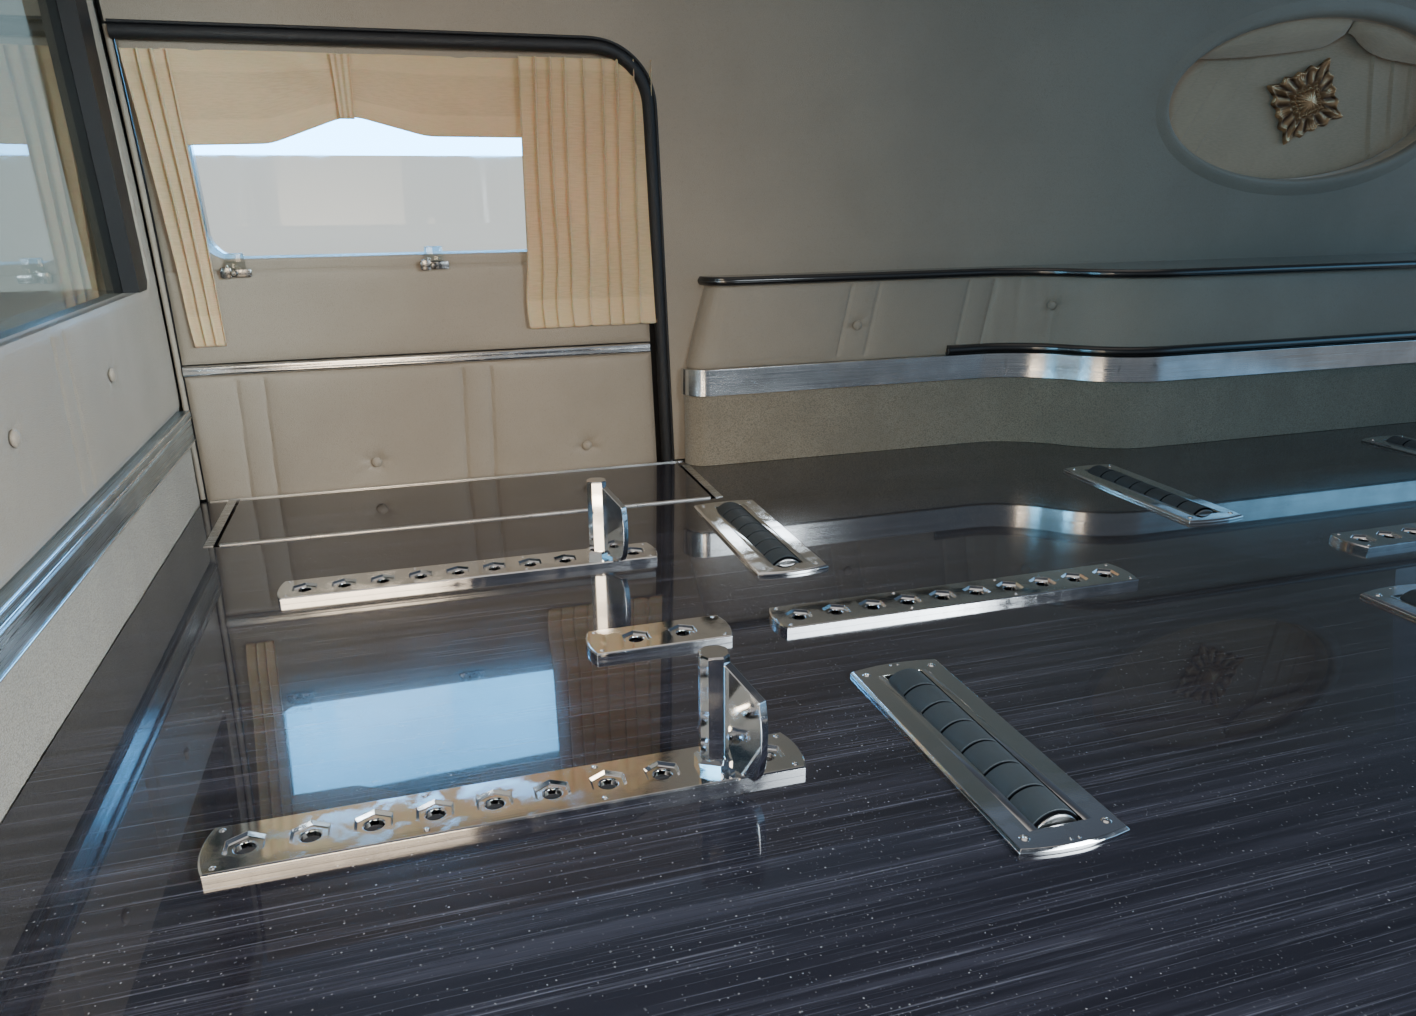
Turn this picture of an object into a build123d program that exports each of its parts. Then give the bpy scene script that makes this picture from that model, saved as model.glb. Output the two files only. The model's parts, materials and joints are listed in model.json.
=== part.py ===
from build123d import *
import math
import os

# Casket compartment of a hearse: the deck with its rollers and bier plates, the
# front partition and the right-hand side wall with its door.
# X runs to the vehicle's rear from the partition's face, Y runs to the right-hand side
# from the deck's centreline, and Z is up. Heights in this file are measured from the
# deck's top face. save() lifts every piece by DECK_HEIGHT, so that Z = 0 is the floor.

DECK_HEIGHT = 300.0
LENGTH = 2800.0
ROOM_TOP = 880.0
FLOOR = -DECK_HEIGHT
GAP = 5.0

# Side wall section
WALL_Y = 778.0
WALL_LEAN = 0.06
BELT_Z = 300.0
TUMBLEHOME_R = 2200.0
SKIN_FOOT = (900.0, FLOOR)
SKIN_HIP = (925.0, 60.0)
SKIN_BELT = (910.0, 385.0)
SKIN_ROOF_MID = (846.0, 650.0)
SKIN_ROOF = (732.0, ROOM_TOP)
SILL_TOP = -270.0
SILL_Y = 700.0

# Plan of the quarter trim, which swells over the wheelhouse
TRIM_T = 20.0
TRIM_START_X = 866.0
TRIM_CORNER_R = 40.0
TRIM_Y = 718.0
WHEELHOUSE_Y = 570.0
BEND_START_X = 1480.0
BEND_END_X = 1810.0
CARPET_TOP = 138.0
STRIP_TOP = 188.0
STRIP_PROUD = 5.0
PAD_TOP = 345.0
PAD_RAKE = 38.0
LEDGE_TOP = 358.0
LEDGE_PROUD = 8.0
SIDE_NEAR_Y = 300.0
SIDE_FAR_Y = 1100.0
RAIL_START_X = 1405.0
WHEEL_X = 2270.0
WHEEL_Z = -250.0
ARCH_R = 360.0
ARCH_INNER_Y = 640.0

# Side door, which swings about a vertical axis outside the skin
HINGE_X = 2.5
HINGE_Y = 934.0
SWING_R = 859.0
SWING_TAPER = 0.033
DOOR_TOP = 745.0
DOOR_CORNER_R = 100.0
SEAL_W = 22.0
SEAL_T = 14.0
PAD_T = 22.0
PAD_INSET = 28.0
PAD_FRONT_X = 8.0
DOOR_STRIP_Z = (220.0, 237.0)
DOOR_STRIP_PROUD = 6.0
STRIP_FRONT_X = 12.0
CURTAIN_T = 13.0
CURTAIN_INSET = 36.0
HEADING_H = 18.0
WINDOW = (60.0, 772.0, 403.0, 700.0)
WINDOW_R = 45.0
GLASS_SETBACK = 26.0
GLASS_T = 5.0

# Deck
DECK_T = 19.0
DECK_UNDER_TRIM = 12.0
SILL_STRIP_Y = 772.0
SILL_STRIP_T = 6.0
SILL_START_X = 13.0
FLAP_X = (62.0, 851.0)
FLAP_HINGE_Y = 520.0
HINGE_GAP = 3.4
FLAP_EDGE_Y = 764.0
STRIP_W = 14.0
STRIP_T = 1.5

# Bier plates, with a slanted hexagon recess round each hole
PLATE_W = 64.0
PLATE_T = 9.0
PLATE_BOW = 6.5
PLATE_BEVEL = 1.5
PLATE_END = 34.0
HOLE_R = 8.0
HOLE_PITCH = 50.0
HOLE_EDGE = 1.2
HEX_R = 18.0
HEX_FLOOR_R = 15.5
HEX_DEPTH = 3.0

# Rollers
ROLLER_PLATE = (106.0, 336.0, 6.0)
ROLLER_PLATE_BEVEL = 2.5
ROLLER_WINDOW = (60.0, 282.0)
ROLLER_R = 28.0
ROLLER_L = 270.0
ROLLER_RINGS = 7
ROLLER_GROOVE = 2.2
ROLLER_AXIS_Z = -13.0
AXLE_R = 5.0
RUNNING = 0.1
ROLLER_Y = 313.0


def save(name, shape):
    os.makedirs("parts", exist_ok=True)
    export_step(Pos(0, 0, DECK_HEIGHT) * shape, "parts/" + name + ".step")


def box(x0, x1, y0, y1, z0, z1):
    centre = Pos((x0 + x1) / 2, (y0 + y1) / 2, (z0 + z1) / 2)
    return centre * Box(x1 - x0, y1 - y0, z1 - z0)


def group(solids):
    return Compound(children=list(solids))


def mirror_y(shape):
    return mirror(shape, about=Plane.XZ)


def along_x(face, x0, x1):
    """A face drawn in (Y, Z), extruded from x0 to x1."""
    return extrude(Plane.YZ.offset(x0) * face, amount=x1 - x0, dir=(1, 0, 0))


def along_y(face, y0, y1):
    """A face drawn in (X, Z), extruded from y0 to y1."""
    return extrude(Plane.XZ.offset(-y0) * face, amount=y1 - y0, dir=(0, 1, 0))


def along_z(face, z0, z1):
    """A face drawn in (X, Y), extruded from z0 to z1."""
    return extrude(Plane.XY.offset(z0) * face, amount=z1 - z0, dir=(0, 0, 1))


def closed_face(edges):
    return Face(Wire(edges))


# The side wall's section: a leaning wall below the belt and a tumblehome arc above it

def wall_y(z):
    rise = max(z - BELT_Z, 0.0)
    return WALL_Y - WALL_LEAN * z - rise * rise / (2 * TUMBLEHOME_R)


def inner_edges(shift):
    """Edges of the inner face from floor to roof, moved outwards by shift."""
    foot = (wall_y(FLOOR) + shift, FLOOR)
    belt = (wall_y(BELT_Z) + shift, BELT_Z)
    middle_z = (BELT_Z + ROOM_TOP) / 2
    middle = (wall_y(middle_z) + shift, middle_z)
    roof = (wall_y(ROOM_TOP) + shift, ROOM_TOP)
    return foot, roof, [Line(foot, belt), ThreePointArc(belt, middle, roof)]


def skin_edges(inwards):
    """Edges of the outer skin from roof to floor, moved inwards."""
    points = []
    for y, z in (SKIN_ROOF, SKIN_ROOF_MID, SKIN_BELT, SKIN_HIP, SKIN_FOOT):
        points.append((y - inwards, z))
    roof, roof_mid, belt, hip, foot = points
    return roof, foot, [ThreePointArc(roof, roof_mid, belt), ThreePointArc(belt, hip, foot)]


def wall_solid(x0, x1, shift=0.0, inwards=0.0):
    """The wall between its inner face and its skin."""
    foot, roof, inner = inner_edges(shift)
    skin_roof, skin_foot, skin = skin_edges(inwards)
    edges = inner + [Line(roof, skin_roof)] + skin + [Line(skin_foot, foot)]
    return along_x(closed_face(edges), x0, x1)


def band(t0, t1, x0, x1, z0=FLOOR, z1=ROOM_TOP):
    """A sheet that follows the inner face, from t0 to t1 outwards of it."""
    foot_a, roof_a, inner_a = inner_edges(t0)
    foot_b, roof_b, inner_b = inner_edges(t1)
    edges = inner_a + [Line(roof_a, roof_b)] + inner_b + [Line(foot_b, foot_a)]
    sheet = along_x(closed_face(edges), x0, x1)
    return sheet & box(x0 - 1, x1 + 1, 400, 1100, z0, z1)


# The quarter trim's plan: a rounded front corner and an S-bend over the wheelhouse.
# Above the strip the front rakes back, so the plan at the pad's top starts PAD_RAKE later.

def bend_numbers():
    run = BEND_END_X - BEND_START_X
    drop = TRIM_Y - WHEELHOUSE_Y
    turn = 2 * math.atan2(drop, run)
    return math.degrees(turn), run / (2 * math.sin(turn))


def trim_edges(t, x_end, back=0.0):
    """Edges of the trim's face in plan, moved outwards by t, from front to rear."""
    turn, bend_r = bend_numbers()
    start_x = TRIM_START_X + back
    corner = (start_x + TRIM_CORNER_R, TRIM_Y + TRIM_CORNER_R)
    bend_a = (BEND_START_X, TRIM_Y - bend_r)
    bend_b = (BEND_END_X, WHEELHOUSE_Y + bend_r)
    front = CenterArc(corner, TRIM_CORNER_R - t, 180, 90)
    swing_in = CenterArc(bend_a, bend_r + t, 90, -turn)
    swing_out = CenterArc(bend_b, bend_r - t, 270 - turn, turn)
    first = Line((corner[0], TRIM_Y + t), (BEND_START_X, TRIM_Y + t))
    last = Line((BEND_END_X, WHEELHOUSE_Y + t), (x_end, WHEELHOUSE_Y + t))
    start = (start_x + t, corner[1])
    return start, (x_end, WHEELHOUSE_Y + t), [front, first, swing_in, swing_out, last]


def band_plan(t0, t1, back=0.0):
    """The plan of a trim piece from t0 to t1 outwards of the trim's face."""
    start_a, end_a, edges_a = trim_edges(t0, LENGTH, back)
    start_b, end_b, edges_b = trim_edges(t1, LENGTH, back)
    return closed_face(edges_a + [Line(end_a, end_b)] + edges_b + [Line(start_b, start_a)])


def side_plan(t, x_end, side_y, back=0.0):
    """The plan of all that lies between the trim's face and the line Y = side_y."""
    start, end, edges = trim_edges(t, x_end, back)
    corners = [Line(end, (x_end, side_y)), Line((x_end, side_y), (start[0], side_y))]
    return closed_face(edges + corners + [Line((start[0], side_y), start)])


def raked(low_plan, high_plan):
    """A solid over the pad's height whose front rakes back with the pad."""
    return loft([Pos(0, 0, STRIP_TOP) * low_plan, Pos(0, 0, PAD_TOP) * high_plan], ruled=True)


def trim_band(t0, t1, z0, z1):
    return along_z(band_plan(t0, t1), z0, z1)


def quarter_pad():
    return raked(band_plan(0, TRIM_T), band_plan(0, TRIM_T, PAD_RAKE))


def trim_side(t, x_end, side_y, z0):
    """Upright to the strip's top and raked above it, from z0 to the pad's top."""
    upright = along_z(side_plan(t, x_end, side_y), z0, STRIP_TOP)
    return upright + raked(side_plan(t, x_end, side_y), side_plan(t, x_end, side_y, PAD_RAKE))


# The door's volume: its rear edge and rear top corner turn about the hinge axis, so the
# gap to the jamb stays the same over the whole swing

def swing_volume(inset, front_x):
    low = SILL_TOP + inset
    high = DOOR_TOP - inset
    outer_low = SWING_R - SWING_TAPER * low - inset
    outer_high = SWING_R - SWING_TAPER * high - inset
    profile = Polygon((0, low), (outer_low, low), (outer_high, high), (0, high), align=None)
    corner = profile.vertices().sort_by_distance((outer_high, high))[0]
    profile = fillet(corner, DOOR_CORNER_R - inset)
    turned = revolve(Plane.XZ * profile, axis=Axis.Z, revolution_arc=360)
    placed = Pos(HINGE_X, HINGE_Y, 0) * turned
    return placed & box(front_x, 1000, 500, 1100, FLOOR, ROOM_TOP)


def window_prism(inset=0.0):
    x0, x1, z0, z1 = WINDOW
    width = x1 - x0 - 2 * inset
    height = z1 - z0 - 2 * inset
    face = Pos((x0 + x1) / 2, (z0 + z1) / 2) * RectangleRounded(width, height, WINDOW_R)
    return along_y(face, 500, 1100)


# Deck

def deck_outline(t):
    """The deck's outline, the same on both sides."""
    side_edges = {}
    for side in (1, -1):
        start, end, edges = trim_edges(t, LENGTH)
        edges = [Line((0, SILL_STRIP_Y), (start[0], SILL_STRIP_Y)),
                 Line((start[0], SILL_STRIP_Y), start)] + edges
        side_edges[side] = edges
    right = Wire(side_edges[1])
    left = mirror_y(right)
    rear = Line((LENGTH, WHEELHOUSE_Y + t), (LENGTH, -WHEELHOUSE_Y - t))
    front = Line((0, SILL_STRIP_Y), (0, -SILL_STRIP_Y))
    return Face(Wire(right.edges() + left.edges() + [rear, front]))


def both_sides(x0, x1, y0, y1, z0, z1):
    right = box(x0, x1, y0, y1, z0, z1)
    return [right, mirror_y(right)]


# Bier plates: name, centre y, start x, hole count, first hole from the start, hole pitch
PLATE_X = 173.0
PLATE_Y = 283.0
PLATES = (
    ("bier_plate_left", -PLATE_Y, PLATE_X, 10, PLATE_END, HOLE_PITCH),
    ("bier_plate_right", PLATE_Y, PLATE_X, 10, PLATE_END, HOLE_PITCH),
    ("bier_plate_centre_short", 0.0, 538.0, 2, 59.0, 57.0),
    ("bier_plate_centre_front", 0.0, 770.0, 10, PLATE_END, HOLE_PITCH),
    ("bier_plate_centre_rear", 0.0, 1675.0, 10, PLATE_END, HOLE_PITCH),
)

# Rollers: name, centre x, side
ROLLERS = (
    ("roller_front_right", 857.0, 1),
    ("roller_front_left", 857.0, -1),
    ("roller_middle_right", 1582.0, 1),
    ("roller_middle_left", 1582.0, -1),
    ("roller_rear_right", 2307.0, 1),
    ("roller_rear_left", 2307.0, -1),
)

PIN_HOLE = 8
SLOT_R = 12.0


def plate_length(count, first, pitch):
    return 2 * first + (count - 1) * pitch


def deck_board():
    board = along_z(deck_outline(DECK_UNDER_TRIM), -DECK_T, 0)
    strip_in = SILL_STRIP_Y - SILL_STRIP_T
    lid = box(FLAP_X[0] - GAP, FLAP_X[1] + GAP, FLAP_HINGE_Y - HINGE_GAP, 900, -30, 10)
    strips = both_sides(SILL_START_X, TRIM_START_X, strip_in, 900, -30, 10)
    for cut in [lid] + strips:
        board -= cut
    for name, x, side in ROLLERS:
        width = 2 * (ROLLER_R + GAP)
        length = ROLLER_WINDOW[1] + 8
        board -= Pos(x, side * ROLLER_Y, 0) * Box(width, length, 60)
    for name, y, x, count, first, pitch in PLATES:
        length = (count - 1) * pitch
        slot = Rectangle(length, 2 * SLOT_R) + Pos(-length / 2, 0) * Circle(SLOT_R)
        slot += Pos(length / 2, 0) * Circle(SLOT_R)
        centre = Pos(x + first + length / 2, y, 0)
        board -= centre * along_z(slot, -30, 10)
    return board


def bowed_plate(length, width, thick, bow, bevel):
    """A plate along X whose ends bow outwards and whose top edges are bevelled."""
    half_l = length / 2
    half_w = width / 2
    corner = half_l - bow
    rear = ThreePointArc((corner, half_w), (half_l, 0), (corner, -half_w))
    front = ThreePointArc((-corner, -half_w), (-half_l, 0), (-corner, half_w))
    near = Line((corner, -half_w), (-corner, -half_w))
    far = Line((-corner, half_w), (corner, half_w))
    plate = along_z(closed_face([rear, near, front, far]), 0, thick)
    return chamfer(plate.faces().sort_by(Axis.Z)[-1].edges(), bevel)


def pin_hole():
    """The cutter of one hole: a slanted hexagon recess and a bore with a broken edge."""
    floor = PLATE_T - HEX_DEPTH
    low = Pos(0, 0, floor) * RegularPolygon(HEX_FLOOR_R, 6, rotation=30)
    high = Pos(0, 0, PLATE_T) * RegularPolygon(HEX_R, 6, rotation=30)
    recess = loft([low, high], ruled=True)
    bore = along_z(Circle(HOLE_R), -1, PLATE_T)
    edge = Pos(0, 0, floor - HOLE_EDGE / 2) * Cone(HOLE_R, HOLE_R + HOLE_EDGE, HOLE_EDGE)
    return recess + bore + edge


def bier_plate(y, x, count, first, pitch):
    length = plate_length(count, first, pitch)
    plate = bowed_plate(length, PLATE_W, PLATE_T, PLATE_BOW, PLATE_BEVEL)
    hole = pin_hole()
    for i in range(count):
        plate -= Pos(first - length / 2 + i * pitch, 0, 0) * hole
    return Pos(x + length / 2, y, 0) * plate


# Bier pins: name, plate centre y
PINS = (("pin_left", -PLATE_Y), ("pin_right", PLATE_Y))
PIN_X = PLATE_X + PLATE_END + PIN_HOLE * HOLE_PITCH
STEM_BOTTOM = -26.0
SEAT_R = 14.5
FOOT_R = 19.5
FOOT_TOP = 19.0
POST_W = 27.0
POST_CORNER = 6.5
POST_TOP = 122.0
POST_TURN = 56.0
PAD_TURN = 25.0
PAD_START = 4.0
PAD_FRONT = -1.0
PAD_THICK = 9.0


def pad_blade():
    """The pad lengthwise along X: a sloping top and an end that bows outwards."""
    low, foot, bow, shoulder, high = (14, 53), (24, 58), (60, 61.5), (94, 58), (115, 12)
    end = ThreePointArc((foot[1], foot[0]), (bow[1], bow[0]), (shoulder[1], shoulder[0]))
    edges = [Line((PAD_START, low[0]), (low[1], low[0])), Line((low[1], low[0]), (foot[1], foot[0])),
             end, Line((shoulder[1], shoulder[0]), (high[1], high[0])),
             Line((high[1], high[0]), (PAD_START, high[0])),
             Line((PAD_START, high[0]), (PAD_START, low[0]))]
    return along_y(closed_face(edges), PAD_FRONT, PAD_FRONT + PAD_THICK)


def pin_turned(y, shape):
    """The pad leaves the post towards the near side and a little to the rear."""
    return Pos(PIN_X, y, 0) * Rot(0, 0, PAD_TURN - 90) * shape


def pin_post(y):
    """A square post with broken corners on a hexagon foot, slotted for its pad."""
    stem = along_z(Circle(HOLE_R - RUNNING), STEM_BOTTOM, PLATE_T)
    seat = along_z(RegularPolygon(SEAT_R, 6, rotation=30), PLATE_T - HEX_DEPTH, PLATE_T)
    foot = along_z(RegularPolygon(FOOT_R, 6, rotation=30), PLATE_T, FOOT_TOP)
    foot = chamfer(foot.faces().sort_by(Axis.Z)[-1].edges(), 3.0)
    square = Rectangle(POST_W, POST_W)
    post = along_z(chamfer(square.vertices(), POST_CORNER), FOOT_TOP, POST_TOP)
    post = chamfer(post.faces().sort_by(Axis.Z)[-1].edges(), 1.5)
    upright = Rot(0, 0, POST_TURN) * post - pad_blade()
    return Pos(PIN_X, y, 0) * (stem + seat + foot) + pin_turned(y, upright)


def pin_pad(y):
    """The upright plate against which the casket's end rests."""
    blade = pad_blade() - along_z(Circle(FOOT_R + 1), 0, FOOT_TOP)
    return pin_turned(y, blade)


def roller(x, side):
    """A grooved rubber roller, bored for its axle."""
    pitch = ROLLER_L / ROLLER_RINGS
    half = ROLLER_L / 2
    bore = AXLE_R + RUNNING
    points = [(bore, -half)]
    for i in range(ROLLER_RINGS):
        a = -half + i * pitch
        b = a + pitch
        points.append((ROLLER_R - ROLLER_GROOVE, a))
        points.append((ROLLER_R, a + ROLLER_GROOVE))
        points.append((ROLLER_R, b - ROLLER_GROOVE))
    points += [(ROLLER_R - ROLLER_GROOVE, half), (bore, half)]
    profile = Polygon(*points, align=None)
    body = revolve(Plane.XZ * profile, axis=Axis.Z, revolution_arc=360)
    return Pos(x, side * ROLLER_Y, ROLLER_AXIS_Z) * Rot(90, 0, 0) * body


def roller_carrier(x, side):
    """The deck plate of one roller, with the two lugs that hold its hexagon axle."""
    width, length, thick = ROLLER_PLATE
    turned = Rot(0, 0, 90) * bowed_plate(length, width, thick, PLATE_BOW, ROLLER_PLATE_BEVEL)
    carrier = turned - along_z(Rectangle(*ROLLER_WINDOW), -1, thick + 1)
    lug_y = ROLLER_WINDOW[1] / 2
    lug_in = ROLLER_L / 2 + 3
    for sign in (1, -1):
        y0, y1 = sorted((sign * lug_in, sign * (lug_y + 2)))
        carrier += box(-13, 13, y0, y1, ROLLER_AXIS_Z - 12, thick / 2)
    axle = Pos(0, 0, ROLLER_AXIS_Z) * along_y(RegularPolygon(AXLE_R, 6), -lug_y, lug_y)
    return Pos(x, side * ROLLER_Y, 0) * (carrier + axle)


# Deck frame: rails, joists, legs and floor beams
RAILS_Y = (-500.0, -110.0, 110.0, 500.0)
RAIL = (40.0, 45.0)
JOISTS_X = (30.0, 735.0, 1310.0, 1645.0, 2223.0, 2500.0, 2770.0)
JOIST = (40.0, 45.0)
BEAMS_X = (0.0, 1310.0, 2500.0)
BEAM = (100.0, 50.0)
FLOOR_HOLE_Y = 400.0
FLOOR_HOLE_R = 5.5


def deck_rails():
    top = -DECK_T
    rails = []
    for y in RAILS_Y:
        tube = box(2, LENGTH - 4, y - RAIL[0] / 2, y + RAIL[0] / 2, top - RAIL[1], top)
        tube -= box(0, LENGTH, y - RAIL[0] / 2 + 3, y + RAIL[0] / 2 - 3, top - RAIL[1] + 3, top - 3)
        rails.append(tube)
    return group(rails)


def joist_reach(x):
    if x < TRIM_START_X:
        return WALL_Y - 10
    if x < BEND_START_X:
        return TRIM_Y + TRIM_T
    if x > BEND_END_X:
        return WHEELHOUSE_Y + TRIM_T
    return 600.0


def deck_joists():
    top = -DECK_T - RAIL[1]
    joists = []
    for x in JOISTS_X:
        reach = joist_reach(x)
        joists.append(box(x - JOIST[0] / 2, x + JOIST[0] / 2, -reach, reach, top - JOIST[1], top))
    return group(joists)


def deck_legs():
    top = -DECK_T - RAIL[1] - JOIST[1]
    bottom = FLOOR + BEAM[1]
    legs = []
    for x in (JOISTS_X[0], JOISTS_X[2], JOISTS_X[5]):
        for y in RAILS_Y:
            legs.append(box(x - 20, x + 20, y - 20, y + 20, bottom, top))
    return group(legs)


def floor_beams():
    beams = []
    for x in BEAMS_X:
        reach = SILL_Y if x < BEND_START_X else WHEELHOUSE_Y + TRIM_T
        beam = box(x - BEAM[0] / 2, x + BEAM[0] / 2, -reach, reach, FLOOR, FLOOR + BEAM[1])
        if x != BEAMS_X[1]:
            for y in (-FLOOR_HOLE_Y, FLOOR_HOLE_Y):
                beam -= Pos(x, y, FLOOR + BEAM[1] / 2) * Cylinder(FLOOR_HOLE_R, BEAM[1] + 2)
        beams.append(beam)
    return group(beams)


def flap_battens():
    """The ledge under the flap's free edge."""
    top = -DECK_T
    return box(25, TRIM_START_X - GAP, 742, SILL_STRIP_Y, top - 20, top)


def edge_strips():
    """Satin strips: one along each sill and one at each end of the flap."""
    strip_in = SILL_STRIP_Y - SILL_STRIP_T
    strips = both_sides(SILL_START_X, TRIM_START_X, strip_in, SILL_STRIP_Y + 1, -DECK_T, 2)
    for x, reach in ((FLAP_X[0] - GAP - STRIP_W, FLAP_EDGE_Y), (FLAP_X[1] + GAP, 738.0)):
        strips.append(box(x, x + STRIP_W, FLAP_HINGE_Y, reach, 0, STRIP_T))
    return group(strips)


# The flap beside the door, with its piano hinge towards the centre
KNUCKLES = 6
KNUCKLE_R = 3.2
HINGE_PIN_R = 1.4
HINGE_Z = 0.5


def flap():
    return box(FLAP_X[0], FLAP_X[1], FLAP_HINGE_Y + HINGE_GAP, FLAP_EDGE_Y, -DECK_T, 0)


def flap_knuckles(moving):
    """Every other knuckle of the piano hinge, with its leaf."""
    start = FLAP_X[0] + 4
    pitch = (FLAP_X[1] - FLAP_X[0] - 8) / KNUCKLES
    at = Pos(0, FLAP_HINGE_Y, HINGE_Z)
    sign = 1 if moving else -1
    leaf_y = sorted((FLAP_HINGE_Y + sign * 2.2, FLAP_HINGE_Y + sign * HINGE_GAP))
    leaf = box(start, start + KNUCKLES * pitch, leaf_y[0], leaf_y[1], -16, -0.5)
    hinge = None
    for i in range(KNUCKLES):
        a = start + i * pitch
        if (i % 2 == 1) == moving:
            tube = at * Pos(a + pitch / 2, 0, 0) * Rot(0, 90, 0) * Cylinder(KNUCKLE_R, pitch - 1)
            hinge = tube if hinge is None else hinge + tube
        else:
            leaf -= box(a - 0.5, a + pitch + 0.5, FLAP_HINGE_Y - 4, FLAP_HINGE_Y + 4, -4, 4)
    hinge += leaf
    length = KNUCKLES * pitch
    middle = at * Pos(start + length / 2, 0, 0) * Rot(0, 90, 0)
    if moving:
        return hinge - middle * Cylinder(HINGE_PIN_R + RUNNING, length + 4)
    return hinge + middle * Cylinder(HINGE_PIN_R, length)


# Partition
PARTITION_X = -90.0
PARTITION_FACE = -12.0
PARTITION_FOOT = FLOOR + BEAM[1]
KICK_TOP = 110.0
PARTITION_STRIP_TOP = 164.0
PARTITION_PAD_TOP = 366.0
SCREEN_FOOT = (706.0, 370.0)
SCREEN_HEAD = (640.0, 812.0)
SCREEN_SEAL_W = 60.0
PARTITION_SIDE = 30.0


def room_width(shift):
    """The compartment's whole section in (Y, Z), wider than the wall's face by shift."""
    foot, roof, right = inner_edges(shift)
    left = list(mirror(Wire(right), about=Plane.YZ).edges())
    top = Line(roof, (-roof[0], roof[1]))
    bottom = Line(foot, (-foot[0], foot[1]))
    return closed_face(right + [top] + left + [bottom])


def screen_face(inset):
    (y0, z0), (y1, z1) = SCREEN_FOOT, SCREEN_HEAD
    return Polygon((y0 - inset, z0), (y1 - inset, z1), (inset - y1, z1), (inset - y0, z0), align=None)


def partition_wall():
    wall = along_x(room_width(PARTITION_SIDE), PARTITION_X, PARTITION_FACE)
    wall &= box(PARTITION_X, 0, -900, 900, PARTITION_FOOT, ROOM_TOP)
    return wall - along_x(screen_face(0), PARTITION_X - 1, 10)


def partition_trim(z0, z1, x1):
    trim = along_x(room_width(PARTITION_SIDE), PARTITION_FACE, x1)
    half = wall_y(z1) - 4
    return trim & box(PARTITION_FACE, x1, -half, half, z0, z1)


def partition_strip():
    """A moulding with a raised bead along its top."""
    back = PARTITION_FACE
    low, high = KICK_TOP, PARTITION_STRIP_TOP
    profile = Polygon((back, low), (4, low), (7, low + 3), (7, high - 19), (4, high - 16), (4, high - 13),
                      (8, high - 9), (8, high - 3), (5, high), (back, high), align=None)
    half = wall_y(high) - 4
    return along_y(profile, -half, half)


def partition_seal():
    bars = along_x(screen_face(0) - screen_face(SCREEN_SEAL_W), -46, -8)
    return bars - along_x(screen_face(SCREEN_SEAL_W - 12), -30 - GLASS_T, -30)


def partition_glass():
    return along_x(screen_face(SCREEN_SEAL_W - 12), -30 - GLASS_T, -30)


# Side wall
RECESS = (2224.0, 675.0, 369.0, 156.0)
RECESS_DEPTH = 55.0
RIM_W = 22.0


def oval(grow):
    x, z, half_x, half_z = RECESS
    return Pos(x, z) * Ellipse(half_x + grow, half_z + grow)


def oval_band(grow, t0, t1, hole=None):
    face = oval(grow) if hole is None else oval(grow) - oval(hole)
    x, z, half_x, half_z = RECESS
    reach = half_x + grow + 5
    return along_y(face, 500, 900) & band(t0, t1, x - reach, x + reach)


def side_wall():
    pillar = wall_solid(PARTITION_X, 0, PARTITION_SIDE)
    wall = wall_solid(0, LENGTH)
    quarter = trim_side(TRIM_T, LENGTH, SIDE_FAR_Y, FLOOR) & wall_solid(TRIM_START_X, LENGTH, -400)
    wall = wall + pillar + quarter
    wall -= swing_volume(0, 0)
    wall -= trim_side(TRIM_T, LENGTH + 10, SIDE_NEAR_Y, 0)
    wall -= trim_band(0, TRIM_T, 0, STRIP_TOP)
    wall -= quarter_pad()
    wall -= trim_band(-STRIP_PROUD, TRIM_T, CARPET_TOP, STRIP_TOP)
    wall -= Pos(WHEEL_X, 0, WHEEL_Z) * Rot(90, 0, 0) * arch_cutter()
    wall -= oval_band(0, -20, RECESS_DEPTH)
    wall += box(-50, TRIM_START_X + 10, SILL_Y, SKIN_FOOT[0], FLOOR, SILL_TOP)
    return wall


def arch_cutter():
    depth = 1100 - ARCH_INNER_Y
    return Pos(0, 0, -ARCH_INNER_Y - depth / 2) * Cylinder(ARCH_R, depth)


def door_seal():
    """The seal along the opening's top and rear."""
    run = swing_volume(0, 0) - swing_volume(SEAL_W, -1)
    return run & band(0, SEAL_T, 0, 900, 3, ROOM_TOP)


def quarter_strip():
    """A channel moulding, open towards the wall."""
    bar = trim_band(-STRIP_PROUD, TRIM_T, CARPET_TOP, STRIP_TOP)
    return bar - trim_band(0, TRIM_T, CARPET_TOP + 4, STRIP_TOP - 4)


def quarter_ledge():
    """The wooden ledge: its front edge follows the plan and its back edge the wall."""
    start, end, edges = trim_edges(-LEDGE_PROUD, LENGTH, PAD_RAKE)
    corners = [Line(end, (LENGTH, start[1])), Line((LENGTH, start[1]), start)]
    plate = along_z(closed_face(edges + corners), PAD_TOP, LEDGE_TOP)
    return plate - wall_solid(0, LENGTH)


def quarter_rail():
    rail = trim_band(-7, 0, STRIP_TOP + 2, STRIP_TOP + 16)
    return rail & box(RAIL_START_X, LENGTH, 0, 900, 0, 400)


# Carved ornament on the recess lining: a lozenge of four leaves round a boss
ORNAMENT = (2237.0, 677.0, 104.0, 78.0)
ORNAMENT_TURN = 14.0
ORNAMENT_T = 12.0
ORNAMENT_SEAT = 1.5


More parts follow.
